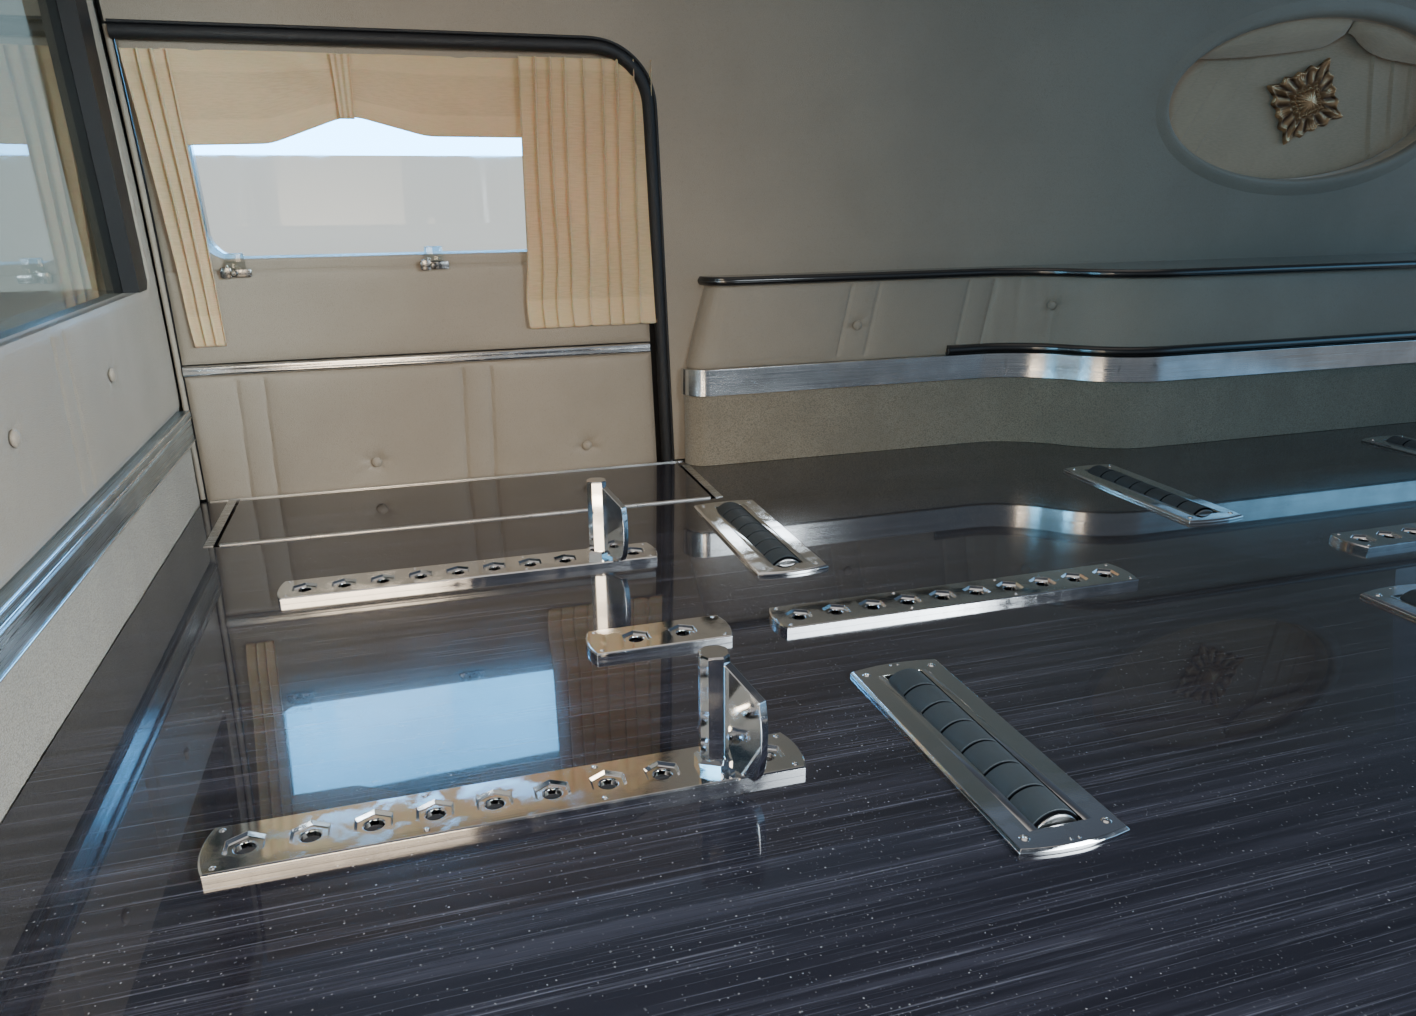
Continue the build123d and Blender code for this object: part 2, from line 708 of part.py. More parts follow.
def recess_ornament():
    """A lozenge whose sides curve in, with a raised boss that carries the leaves."""
    x, z, half_x, half_z = ORNAMENT
    tips = [(half_x, 0), (0, half_z), (-half_x, 0), (0, -half_z)]
    sides = []
    for i in range(4):
        a = tips[i]
        b = tips[(i + 1) % 4]
        waist = (0.43 * (a[0] + b[0]), 0.43 * (a[1] + b[1]))
        sides.append(ThreePointArc(a, waist, b))
    back_y = wall_y(z) + RECESS_DEPTH - 8
    plate = along_y(closed_face(sides), -ORNAMENT_T, 0)
    boss = Pos(0, -ORNAMENT_T, 0) * Rot(90, 0, 0) * Cone(30, 20, 8)
    lean = math.degrees(math.asin((z - BELT_Z) / TUMBLEHOME_R) + WALL_LEAN)
    turned = Rot(0, ORNAMENT_TURN, 0) * (plate + boss)
    return Pos(x, back_y - ORNAMENT_SEAT, z) * Rot(lean, 0, 0) * turned


# Door
def door_shell():
    shell = swing_volume(GAP, GAP) & wall_solid(0, 900, PAD_T)
    return shell - window_prism()


def door_pad(z0, z1):
    return swing_volume(PAD_INSET, PAD_FRONT_X) & band(0, PAD_T, 0, 900, z0, z1)


def door_glass():
    roof_a, foot_a, outer = skin_edges(GLASS_SETBACK)
    roof_b, foot_b, inner = skin_edges(GLASS_SETBACK + GLASS_T)
    sheet = closed_face(outer + [Line(foot_a, foot_b)] + inner + [Line(roof_b, roof_a)])
    return along_x(sheet, 0, 900) & window_prism()


def door_strip():
    bar = band(-DOOR_STRIP_PROUD, PAD_T, 0, 900, *DOOR_STRIP_Z)
    return swing_volume(PAD_INSET + 6, STRIP_FRONT_X) & bar


def door_curtain(x0, x1, z0, z1):
    """A gathered curtain that hangs clear of the pad, held by its heading at the top."""
    hung = band(-CURTAIN_T - 1, -1, x0, x1, z0, z1)
    heading = band(-1, PAD_T, x0, x1, z1 - HEADING_H, z1)
    return swing_volume(CURTAIN_INSET, STRIP_FRONT_X) & (hung + heading)


def door_valance():
    """The gathered pelmet over the window, higher in its middle."""
    arch = Polygon((78, 712), (580, 712), (580, 597), (478, 590), (307, 628), (281, 628),
                   (177, 582), (78, 582), align=None)
    return along_y(arch, 500, 1100) & band(2, PAD_T, 30, 600)


# Door hinges: z of each barrel's middle
HINGES_Z = (-130.0, 270.0)
BARREL_R = 6.0
BARREL_L = 90.0
LEAF_T = 2.0


def hinge_part(moving):
    parts = []
    third = BARREL_L / 3
    for z in HINGES_Z:
        at = Pos(HINGE_X, HINGE_Y, z)
        leaf_x = (HINGE_X + 0.5, HINGE_X + 0.5 + LEAF_T) if moving else (0.0, LEAF_T)
        leaf = box(leaf_x[0], leaf_x[1], HINGE_Y - 60, HINGE_Y - 4, z - BARREL_L / 2, z + BARREL_L / 2)
        knuckles = (0.0,) if moving else (-third, third)
        part = leaf
        for k in knuckles:
            part += at * Pos(0, 0, k) * Cylinder(BARREL_R, third - 1)
        for k in (0.0, -third, third):
            if k not in knuckles:
                part -= at * Pos(0, 0, k) * Cylinder(BARREL_R + 1, third)
        if moving:
            part -= at * Cylinder(3 + RUNNING, BARREL_L + 2)
        else:
            part += at * Cylinder(3, BARREL_L)
        parts.append(part)
    return group(parts)


def main():
    save("deck_board", deck_board())
    save("deck_rails", deck_rails())
    save("deck_joists", deck_joists())
    save("deck_legs", deck_legs())
    save("floor_beams", floor_beams())
    save("flap_battens", flap_battens())
    save("edge_strips", edge_strips())
    for name, y, x, count, first, pitch in PLATES:
        save(name, bier_plate(y, x, count, first, pitch))
    for name, y in PINS:
        save(name + "_post", pin_post(y))
        save(name + "_pad", pin_pad(y))
    for name, x, side in ROLLERS:
        save(name, roller(x, side))
    save("roller_carriers", group([roller_carrier(x, side) for name, x, side in ROLLERS]))
    save("flap_right", flap())
    save("flap_right_leaf", flap_knuckles(True))
    save("flap_hinges", flap_knuckles(False))
    save("partition_wall", partition_wall())
    save("partition_carpet", partition_trim(0, KICK_TOP, 0))
    save("partition_strip", partition_strip())
    save("partition_pad", partition_trim(PARTITION_STRIP_TOP, PARTITION_PAD_TOP, 0))
    save("partition_seal", partition_seal())
    save("partition_glass", partition_glass())
    save("side_wall", side_wall())
    save("door_seal", door_seal())
    save("quarter_carpet", trim_band(0, TRIM_T, 0, CARPET_TOP))
    save("quarter_strip", quarter_strip())
    save("quarter_pad", quarter_pad())
    save("quarter_ledge", quarter_ledge())
    save("quarter_rail", quarter_rail())
    save("recess_rim", oval_band(RIM_W, -10, 0, 0))
    save("recess_lining", oval_band(-1, RECESS_DEPTH - 8, RECESS_DEPTH))
    save("recess_ornament", recess_ornament())
    save("door_shell", door_shell())
    save("door_pad_lower", door_pad(SILL_TOP + 40, DOOR_STRIP_Z[0]))
    save("door_pad_upper", door_pad(DOOR_STRIP_Z[1], 400))
    save("door_strip", door_strip())
    save("door_glass", door_glass())
    save("door_valance", door_valance())
    save("door_curtain_rear", door_curtain(590, 900, 268, 722))
    save("door_curtain_front", door_curtain(STRIP_FRONT_X, 74, 270, 705))
    save("door_hinges_fixed", hinge_part(False))
    save("door_hinges_moving", hinge_part(True))


main()
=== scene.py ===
# %% [markdown]
# # The casket compartment of a hearse
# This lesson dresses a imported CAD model: a black laminated deck with chrome fittings,
# a padded front partition, and the padded side wall with its curtained door.
# The CAD model is the fixed frame. New pieces are made where the CAD says, in metres,
# and each one rides on the body that carries it, so that doors and lids still move.

# %% Load the frame
import json
import math
import bpy
import bmesh
from mathutils import Matrix, Vector, noise

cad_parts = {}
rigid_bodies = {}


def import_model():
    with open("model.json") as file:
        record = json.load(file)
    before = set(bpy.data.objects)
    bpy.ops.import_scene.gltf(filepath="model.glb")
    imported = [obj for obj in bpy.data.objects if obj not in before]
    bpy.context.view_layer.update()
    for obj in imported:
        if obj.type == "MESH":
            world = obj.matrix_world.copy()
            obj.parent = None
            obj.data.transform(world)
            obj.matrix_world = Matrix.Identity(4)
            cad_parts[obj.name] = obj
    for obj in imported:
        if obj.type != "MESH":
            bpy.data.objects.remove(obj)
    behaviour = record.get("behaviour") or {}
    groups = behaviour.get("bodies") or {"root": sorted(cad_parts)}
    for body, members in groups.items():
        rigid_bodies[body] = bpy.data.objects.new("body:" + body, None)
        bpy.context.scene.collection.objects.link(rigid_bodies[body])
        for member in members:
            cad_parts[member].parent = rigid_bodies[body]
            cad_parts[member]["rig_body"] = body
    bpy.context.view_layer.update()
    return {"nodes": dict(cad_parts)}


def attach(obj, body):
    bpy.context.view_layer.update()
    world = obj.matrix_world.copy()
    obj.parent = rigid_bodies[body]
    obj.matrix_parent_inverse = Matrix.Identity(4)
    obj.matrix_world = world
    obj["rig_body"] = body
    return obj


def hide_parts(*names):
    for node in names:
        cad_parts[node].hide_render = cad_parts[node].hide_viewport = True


DECK = 0.300
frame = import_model()
nodes = frame["nodes"]

# %% [markdown]
# ## The camera
# The view looks across the deck from outside the open left side, a little down and to
# the right. A wide lens of 25 mm shows the whole bay. The camera's axes are worked out
# from three angles, because that keeps the view easy to read and to change.

# %% Camera
CAMERA_AT = Vector((0.377, -1.037, 0.8138))
YAW, PITCH, ROLL = math.radians(16.65), math.radians(18.10), math.radians(-0.43)


def camera_axes(yaw, pitch, roll):
    forward = Vector((math.sin(yaw) * math.cos(pitch), math.cos(yaw) * math.cos(pitch), -math.sin(pitch)))
    right = Vector((math.cos(yaw), -math.sin(yaw), 0))
    up = right.cross(forward)
    turned_right = right * math.cos(roll) + up * math.sin(roll)
    turned_up = up * math.cos(roll) - right * math.sin(roll)
    return turned_right, turned_up, forward


view_right, view_up, view_forward = camera_axes(YAW, PITCH, ROLL)
camera_data = bpy.data.cameras.new("bay_camera")
camera_data.sensor_width = 36
camera_data.lens = 24.92
camera_data.clip_start = 0.02
camera = bpy.data.objects.new("bay_camera", camera_data)
bpy.context.scene.collection.objects.link(camera)
camera.matrix_world = Matrix.Translation(CAMERA_AT) @ Matrix(
    (view_right, view_up, -view_forward)).transposed().to_4x4()
bpy.context.scene.camera = camera
print("camera looks along", [round(v, 3) for v in view_forward])

# %% [markdown]
# ## Floor and light
# A pale floor and soft lamps are enough. Black laminate and chrome show mostly what
# they reflect, so the sky is bright behind the side window, as daylight is, and dim
# above the walls, where the real bay has its roof. Straight overhead it is bright again,
# which lights the floor. The lamps at the open left side are tinted and narrowed, so that
# the light falls off along the bay, and a small one lifts the corner above the door.

# %% Floor, sky and lamps
bm = bmesh.new()
bmesh.ops.create_grid(bm, x_segments=1, y_segments=1, size=9)
bmesh.ops.translate(bm, verts=bm.verts, vec=(1.3, 0, -0.001))
floor_mesh = bpy.data.meshes.new("studio_floor")
bm.to_mesh(floor_mesh)
bm.free()
floor = bpy.data.objects.new("studio_floor", floor_mesh)
bpy.context.scene.collection.objects.link(floor)
floor_paint = bpy.data.materials.new("studio_floor")
floor_paint.use_nodes = True
floor_paint.node_tree.nodes["Principled BSDF"].inputs["Base Color"].default_value = (0.66, 0.65, 0.64, 1)
floor_paint.node_tree.nodes["Principled BSDF"].inputs["Roughness"].default_value = 0.8
floor_mesh.materials.append(floor_paint)

world = bpy.data.worlds.new("soft_sky")
bpy.context.scene.world = world
world.use_nodes = True
sky = world.node_tree
sky_coords = sky.nodes.new("ShaderNodeTexCoord")
sky_split = sky.nodes.new("ShaderNodeSeparateXYZ")
sky.links.new(sky_coords.outputs["Generated"], sky_split.inputs[0])

# height above the horizon, colour
STUDIO_SIDE = (
    (0.00, (0.27, 0.31, 0.34)),
    (0.30, (0.17, 0.20, 0.24)),
    (0.62, (0.064, 0.076, 0.098)),
    (0.80, (0.058, 0.062, 0.070)),
    (0.93, (0.78, 0.72, 0.66)),
    (1.00, (0.92, 0.86, 0.80)),
)
WINDOW_SIDE = (
    (0.00, (0.92, 0.94, 0.94)),
    (0.14, (0.82, 0.92, 1.00)),
    (0.36, (0.44, 0.62, 0.80)),
    (0.60, (0.26, 0.34, 0.44)),
    (1.00, (0.05, 0.055, 0.06)),
)
REAR_SIDE = (
    (0.00, (0.62, 1.15, 1.70)),
    (0.18, (0.50, 0.95, 1.45)),
    (0.34, (0.070, 0.100, 0.140)),
    (1.00, (0.045, 0.048, 0.056)),
)


def sky_colors(stops):
    """A ramp of sky colours by height."""
    made = sky.nodes.new("ShaderNodeValToRGB")
    while len(made.color_ramp.elements) < len(stops):
        made.color_ramp.elements.new(0.5)
    for element, (place, tint) in zip(made.color_ramp.elements, stops):
        element.position = place
        element.color = (*tint, 1)
    sky.links.new(sky_split.outputs["Z"], made.inputs[0])
    return made.outputs[0]


def towards(axis, low, high, before, stops):
    """Lays one ramp of colours over another where the sky lies along an axis."""
    side = sky.nodes.new("ShaderNodeMapRange")
    side.interpolation_type = "SMOOTHSTEP"
    side.inputs["From Min"].default_value = low
    side.inputs["From Max"].default_value = high
    sky.links.new(sky_split.outputs[axis], side.inputs["Value"])
    mix = sky.nodes.new("ShaderNodeMix")
    mix.data_type = "RGBA"
    sky.links.new(side.outputs["Result"], mix.inputs["Factor"])
    sky.links.new(before, mix.inputs[6])
    sky.links.new(sky_colors(stops), mix.inputs[7])
    return mix.outputs[2]


sky_all = towards("Y", 0.60, 0.86, sky_colors(STUDIO_SIDE), WINDOW_SIDE)
sky_all = towards("X", 0.45, 0.85, sky_all, REAR_SIDE)
sky.links.new(sky_all, sky.nodes["Background"].inputs["Color"])


def soft_lamp(name, at, aim, size, watts, tint, spread=180):
    lamp_data = bpy.data.lights.new(name, "AREA")
    lamp_data.shape = "RECTANGLE"
    lamp_data.size, lamp_data.size_y = size
    lamp_data.energy = watts
    lamp_data.spread = math.radians(spread)
    lamp_data.color = tint
    lamp = bpy.data.objects.new(name, lamp_data)
    bpy.context.scene.collection.objects.link(lamp)
    lamp.location = at
    lamp.rotation_euler = (Vector(aim) - Vector(at)).to_track_quat("-Z", "Y").to_euler()
    return lamp


soft_lamp("key_lamp", (-0.20, -2.1, 1.10), (0.02, 0.75, 0.12), (1.2, 0.9), 9.4, (1.0, 0.79, 0.55), 68)
soft_lamp("front_lamp", (1.65, -1.75, 1.25), (-0.10, 0.02, 0.27), (0.9, 0.7), 11.0, (0.86, 0.95, 1.0), 56)
soft_lamp("corner_lamp", (0.90, -0.95, 1.05), (0.02, 0.70, 0.78), (0.20, 0.20), 0.40, (0.62, 0.90, 1.0), 26)
soft_lamp("side_lamp", (-0.55, -1.7, 1.15), (1.35, 0.35, 0.32), (0.6, 0.5), 3.6, (0.22, 0.66, 1.0), 66)
soft_lamp("rear_lamp", (4.4, -1.0, 1.5), (2.0, 0.5, 0.5), (1.2, 1.0), 5.0, (0.18, 0.62, 1.0))
# The lamp outside the window is there for the gloss to mirror, and leaves the floor alone.
window_lamp = soft_lamp("window_lamp", (0.35, 2.3, 1.35), (0.45, 0.6, 0.85), (1.6, 0.9), 66,
                        (0.13, 0.50, 1.0))
window_lamp.visible_diffuse = False

# %% [markdown]
# ## Shared effects
# Several finishes share an effect: vinyl and rubber have grain, everything has slow
# changes of tone, and dust lies in specks and patches. Each effect is a node group
# that is built once, with named inputs, and each material gives it its own values.

# %% Helpers for node groups and finishes
def effect(name, inputs, outputs):
    """An empty shader node group with its named sockets."""
    tree = bpy.data.node_groups.new(name, "ShaderNodeTree")
    for label, kind, value in inputs:
        made = tree.interface.new_socket(name=label, in_out="INPUT", socket_type="NodeSocket" + kind)
        if value is not None:
            made.default_value = value
    for label, kind in outputs:
        tree.interface.new_socket(name=label, in_out="OUTPUT", socket_type="NodeSocket" + kind)
    return tree, tree.nodes.new("NodeGroupInput"), tree.nodes.new("NodeGroupOutput")


def node(tree, kind, **settings):
    """A node with its properties set; a dictionary called values fills its inputs."""
    values = settings.pop("values", {})
    made = tree.nodes.new("ShaderNode" + kind)
    for key, value in settings.items():
        setattr(made, key, value)
    for key, value in values.items():
        made.inputs[key].default_value = value
    return made


def stretch(tree, source, scale, turn=(0, 0, 0)):
    """A pattern's coordinates, stretched and turned."""
    mapping = node(tree, "Mapping", values={"Scale": scale, "Rotation": turn})
    tree.links.new(source, mapping.inputs["Vector"])
    return mapping.outputs["Vector"]


def ramp(tree, source, low, high, dark=0.0, light=1.0):
    """A smooth step of a value from dark to light, between low and high."""
    step = node(tree, "MapRange", interpolation_type="SMOOTHSTEP", values={
        "From Min": low, "From Max": high, "To Min": dark, "To Max": light})
    tree.links.new(source, step.inputs["Value"])
    return step.outputs["Result"]


def blend_colors(tree, factor, first, second):
    """Two colours or sockets mixed by a mask."""
    mixer = node(tree, "Mix", data_type="RGBA")
    tree.links.new(factor, mixer.inputs["Factor"])
    for socket, value in ((mixer.inputs[6], first), (mixer.inputs[7], second)):
        if isinstance(value, tuple):
            socket.default_value = (*value, 1)
        else:
            tree.links.new(value, socket)
    return mixer.outputs[2]


def maths(tree, operation, first, second):
    made = node(tree, "Math", operation=operation)
    for socket, value in zip(made.inputs, (first, second)):
        if isinstance(value, (int, float)):
            socket.default_value = value
        else:
            tree.links.new(value, socket)
    return made.outputs[0]


# %% Effect: slow change of tone
tone_tree, start, end = effect(
    "slow_tone", [("Vector", "Vector", None), ("Scale", "Float", 4.0)], [("Tone", "Float")])
clouds = node(tone_tree, "TexNoise", values={"Detail": 4.0, "Roughness": 0.55})
tone_tree.links.new(start.outputs["Vector"], clouds.inputs["Vector"])
tone_tree.links.new(start.outputs["Scale"], clouds.inputs["Scale"])
tone_tree.links.new(ramp(tone_tree, clouds.outputs["Fac"], 0.3, 0.7), end.inputs["Tone"])
print("effect", tone_tree.name)

# %% Effect: grain of vinyl and rubber
grain_tree, start, end = effect(
    "pressed_grain", [("Vector", "Vector", None), ("Scale", "Float", 500.0)],
    [("Height", "Float"), ("Pores", "Float")])
cells = node(grain_tree, "TexVoronoi", feature="DISTANCE_TO_EDGE")
crumple = node(grain_tree, "TexNoise", values={"Detail": 3.0})
for texture in (cells, crumple):
    grain_tree.links.new(start.outputs["Vector"], texture.inputs["Vector"])
    grain_tree.links.new(start.outputs["Scale"], texture.inputs["Scale"])
plateau = ramp(grain_tree, cells.outputs["Distance"], 0.0, 0.22)
grain_tree.links.new(maths(grain_tree, "ADD", plateau, maths(
    grain_tree, "MULTIPLY", crumple.outputs["Fac"], 0.5)), end.inputs["Height"])
grain_tree.links.new(ramp(grain_tree, cells.outputs["Distance"], 0.0, 0.1, 1.0, 0.0), end.inputs["Pores"])
print("effect", grain_tree.name)

# %% Effect: dust and grit in specks and patches
dust_tree, start, end = effect(
    "dust", [("Vector", "Vector", None), ("Specks", "Float", 260.0), ("Patches", "Float", 3.0),
             ("Amount", "Float", 0.5)], [("Mask", "Float")])
specks = node(dust_tree, "TexVoronoi", feature="F1", values={"Randomness": 1.0})
grit = node(dust_tree, "TexNoise", values={"Detail": 5.0, "Roughness": 0.7})
patches = node(dust_tree, "TexNoise", values={"Detail": 3.0})
for texture, label in ((specks, "Specks"), (grit, "Specks"), (patches, "Patches")):
    dust_tree.links.new(start.outputs["Vector"], texture.inputs["Vector"])
    dust_tree.links.new(start.outputs[label], texture.inputs["Scale"])
points = ramp(dust_tree, specks.outputs["Distance"], 0.06, 0.24, 1.0, 0.0)
chosen = ramp(dust_tree, grit.outputs["Fac"], 0.5, 0.62)
lying = ramp(dust_tree, patches.outputs["Fac"], 0.42, 0.62)
spotted = maths(dust_tree, "MULTIPLY", maths(dust_tree, "MULTIPLY", points, chosen), lying)
dust_tree.links.new(maths(dust_tree, "MULTIPLY", spotted, start.outputs["Amount"]), end.inputs["Mask"])
print("effect", dust_tree.name)

# %% Effect: woven threads
weave_tree, start, end = effect(
    "weave", [("Vector", "Vector", None), ("Threads", "Float", 900.0)],
    [("Height", "Float"), ("Slubs", "Float")])
warp_wave = node(weave_tree, "TexWave", wave_type="BANDS", bands_direction="X",
                 values={"Distortion": 1.2, "Detail": 1.0, "Detail Scale": 2.0})
weft_wave = node(weave_tree, "TexWave", wave_type="BANDS", bands_direction="Y",
                 values={"Distortion": 1.2, "Detail": 1.0, "Detail Scale": 2.0})
slubs = node(weave_tree, "TexNoise", values={"Detail": 3.0, "Scale": 60.0})
for texture in (warp_wave, weft_wave):
    weave_tree.links.new(start.outputs["Vector"], texture.inputs["Vector"])
    weave_tree.links.new(start.outputs["Threads"], texture.inputs["Scale"])
weave_tree.links.new(stretch(weave_tree, start.outputs["Vector"], (1.0, 7.0, 1.0)), slubs.inputs["Vector"])
weave_tree.links.new(maths(weave_tree, "MAXIMUM", warp_wave.outputs["Fac"], weft_wave.outputs["Fac"]),
                     end.inputs["Height"])
weave_tree.links.new(ramp(weave_tree, slubs.outputs["Fac"], 0.35, 0.65), end.inputs["Slubs"])
print("effect", weave_tree.name)


# %% Start a finish
def srgb(red, green, blue):
    """A colour from the 0 to 255 values of a paint chart."""
    parts = []
    for value in (red, green, blue):
        value /= 255
        parts.append(value / 12.92 if value <= 0.04045 else ((value + 0.055) / 1.055) ** 2.4)
    return tuple(parts)


def finish(name, color, roughness, **sockets):
    """A material with its plain values set on the shader itself."""
    material = bpy.data.materials.new(name)
    material.use_nodes = True
    tree = material.node_tree
    shader = tree.nodes["Principled BSDF"]
    shader.inputs["Base Color"].default_value = (*color, 1)
    shader.inputs["Roughness"].default_value = roughness
    for label, value in sockets.items():
        shader.inputs[label.replace("_", " ")].default_value = value
    coords = tree.nodes.new("ShaderNodeTexCoord")
    return material, tree, shader, coords.outputs["Object"]


def place_effect(tree, group, vector, **values):
    made = tree.nodes.new("ShaderNodeGroup")
    made.node_tree = group
    tree.links.new(vector, made.inputs["Vector"])
    for label, value in values.items():
        made.inputs[label].default_value = value
    return made


def add_bump(tree, shader, height, distance, strength=1.0):
    """A bump on top of whatever bump the shader already has."""
    bump = node(tree, "Bump", values={"Distance": distance, "Strength": strength})
    tree.links.new(height, bump.inputs["Height"])
    if shader.inputs["Normal"].is_linked:
        tree.links.new(shader.inputs["Normal"].links[0].from_socket, bump.inputs["Normal"])
    tree.links.new(bump.outputs["Normal"], shader.inputs["Normal"])


# %% [markdown]
# ## Finishes
# The deck is a black high-gloss laminate with a fine striped grain along the vehicle.
# It could be a plain glossy black, but the pale hairlines and the dust are what make
# it read as a real board, so the streaks are noise that is stretched 60 times.

# %% Deck laminate
def nearness(tree, place, centre, reach):
    """1 about a centre, fading to 0 at the reach along each axis."""
    shifted = node(tree, "VectorMath", operation="SUBTRACT", values={1: centre})
    tree.links.new(place, shifted.inputs[0])
    scaled = node(tree, "VectorMath", operation="DIVIDE", values={1: reach})
    tree.links.new(shifted.outputs["Vector"], scaled.inputs[0])
    length = node(tree, "VectorMath", operation="LENGTH")
    tree.links.new(scaled.outputs["Vector"], length.inputs[0])
    return ramp(tree, length.outputs["Value"], 0.35, 1.0, 1.0, 0.0)


laminate, tree, shader, place = finish(
    "deck_laminate", (0.012, 0.012, 0.015), 0.16, Coat_Weight=1.0, Coat_Roughness=0.02, Coat_IOR=1.5,
    Specular_IOR_Level=0.15)
broad = node(tree, "TexNoise", values={"Scale": 1.0, "Detail": 6.0, "Roughness": 0.62, "Distortion": 0.25})
tree.links.new(stretch(tree, place, (1.8, 95.0, 95.0)), broad.inputs["Vector"])
hairs = node(tree, "TexNoise", values={"Scale": 1.0, "Detail": 4.0, "Roughness": 0.7, "Distortion": 0.2})
tree.links.new(stretch(tree, place, (3.4, 470.0, 470.0)), hairs.inputs["Vector"])
band_mask = ramp(tree, broad.outputs["Fac"], 0.42, 0.66)
hair_mask = maths(tree, "MULTIPLY", ramp(tree, hairs.outputs["Fac"], 0.54, 0.70),
                  ramp(tree, broad.outputs["Fac"], 0.34, 0.60, 0.2, 1.0))
wood = blend_colors(tree, band_mask, (0.013, 0.0125, 0.018), (0.032, 0.031, 0.043))
wood = blend_colors(tree, hair_mask, wood, (0.120, 0.118, 0.146))
film = place_effect(tree, dust_tree, place, Specks=210.0, Patches=2.6, Amount=0.8)
grit = place_effect(tree, dust_tree, place, Specks=270.0, Patches=30.0, Amount=1.0)
spill = nearness(tree, place, (0.78, -0.36, DECK), (0.30, 0.56, 1.0))
spilt = maths(tree, "MULTIPLY", grit.outputs["Mask"], spill)
dust_mask = maths(tree, "MAXIMUM", film.outputs["Mask"], spilt)
right_side = nearness(tree, place, (1.55, 0.05, DECK), (0.95, 0.75, 1.0))
wood = blend_colors(tree, maths(tree, "MULTIPLY", right_side, 0.10), wood, (0.20, 0.165, 0.155))
dusty = blend_colors(tree, dust_mask, wood, (0.42, 0.41, 0.41))
tree.links.new(dusty, shader.inputs["Base Color"])
haze = place_effect(tree, tone_tree, place, Scale=5.0)
tree.links.new(ramp(tree, haze.outputs["Tone"], 0.0, 1.0, 0.14, 0.27), shader.inputs["Roughness"])
tree.links.new(ramp(tree, dust_mask, 0.0, 0.8, 1.0, 0.2), shader.inputs["Coat Weight"])
add_bump(tree, shader, hairs.outputs["Fac"], 0.0001, 0.35)
print("finish", laminate.name)

# %% [markdown]
# Polished chrome is a mirror with faint smears. The smears only change the roughness,
# because chrome plate has no colour of its own to change.

# %% Metals
chrome, tree, shader, place = finish("chrome", (0.80, 0.81, 0.83), 0.07, Metallic=1.0)
smears = place_effect(tree, tone_tree, place, Scale=38.0)
tree.links.new(ramp(tree, smears.outputs["Tone"], 0.25, 1.0, 0.045, 0.17), shader.inputs["Roughness"])
film = place_effect(tree, dust_tree, place, Specks=420.0, Patches=14.0, Amount=0.5)
tree.links.new(blend_colors(tree, film.outputs["Mask"], (0.80, 0.81, 0.83), (0.34, 0.32, 0.29)),
               shader.inputs["Base Color"])
scuffs = node(tree, "TexNoise", values={"Scale": 1.0, "Detail": 4.0})
tree.links.new(stretch(tree, place, (30.0, 900.0, 900.0)), scuffs.inputs["Vector"])
add_bump(tree, shader, scuffs.outputs["Fac"], 0.00004, 0.3)


def brushed_metal(name, color, roughness, along):
    """Rolled metal with fine lines along one axis."""
    material, tree, shader, place = finish(name, color, roughness, Metallic=1.0)
    lines = node(tree, "TexNoise", values={"Scale": 1.0, "Detail": 5.0, "Roughness": 0.6})
    tree.links.new(stretch(tree, place, along), lines.inputs["Vector"])
    tree.links.new(ramp(tree, lines.outputs["Fac"], 0.3, 0.7, roughness - 0.09, roughness + 0.12),
                   shader.inputs["Roughness"])
    worn = place_effect(tree, tone_tree, place, Scale=16.0)
    darker = tuple(0.78 * part for part in color)
    tree.links.new(blend_colors(tree, worn.outputs["Tone"], darker, color), shader.inputs["Base Color"])
    add_bump(tree, shader, lines.outputs["Fac"], 0.00002, 0.4)
    return material


satin = brushed_metal("satin_strip", (0.74, 0.75, 0.76), 0.28, (3.0, 700.0, 700.0))
partition_metal = brushed_metal("partition_strip_metal", (0.44, 0.53, 0.60), 0.30, (1500.0, 2.0, 1500.0))
bright_strip = brushed_metal("bright_strip", (0.78, 0.79, 0.80), 0.15, (4.0, 4.0, 900.0))
clip_metal = brushed_metal("clip_metal", (0.20, 0.20, 0.20), 0.24, (200.0, 200.0, 200.0))
hinge_steel = brushed_metal("hinge_steel", (0.50, 0.50, 0.50), 0.34, (60.0, 800.0, 800.0))
print("metals", chrome.name, satin.name, partition_metal.name, bright_strip.name, hinge_steel.name)

# %% [markdown]
# The walls are covered in warm grey vinyl: a soft sheen, a pressed grain of about two
# millimetres, and slow changes of tone where it has been handled.

# %% Vinyl and rubber
def pressed_sheet(name, color, roughness, grain, depth, drift, **sockets):
    material, tree, shader, place = finish(name, color, roughness, **sockets)
    pressed = place_effect(tree, grain_tree, place, Scale=grain)
    slow = place_effect(tree, tone_tree, place, Scale=3.2)
    low = tuple((1 - drift) * part for part in color)
    high = tuple((1 + 0.5 * drift) * part for part in color)
    toned = blend_colors(tree, slow.outputs["Tone"], low, high)
    toned = blend_colors(tree, maths(tree, "MULTIPLY", pressed.outputs["Pores"], 0.35), toned,
                         tuple(0.55 * part for part in color))
    tree.links.new(toned, shader.inputs["Base Color"])
    tree.links.new(ramp(tree, slow.outputs["Tone"], 0.0, 1.0, roughness + 0.06, roughness - 0.05),
                   shader.inputs["Roughness"])
    add_bump(tree, shader, pressed.outputs["Height"], depth)
    return material


vinyl = pressed_sheet("wall_vinyl", srgb(158, 146, 130), 0.46, 420.0, 0.00022, 0.10,
                      Sheen_Weight=0.15, Sheen_Roughness=0.5, Specular_IOR_Level=0.45)
roller_rubber = pressed_sheet("roller_rubber", (0.052, 0.062, 0.070), 0.52, 900.0, 0.00008, 0.25,
                              Specular_IOR_Level=0.35)
seal_rubber = pressed_sheet("seal_rubber", (0.012, 0.012, 0.014), 0.42, 1100.0, 0.0001, 0.2)
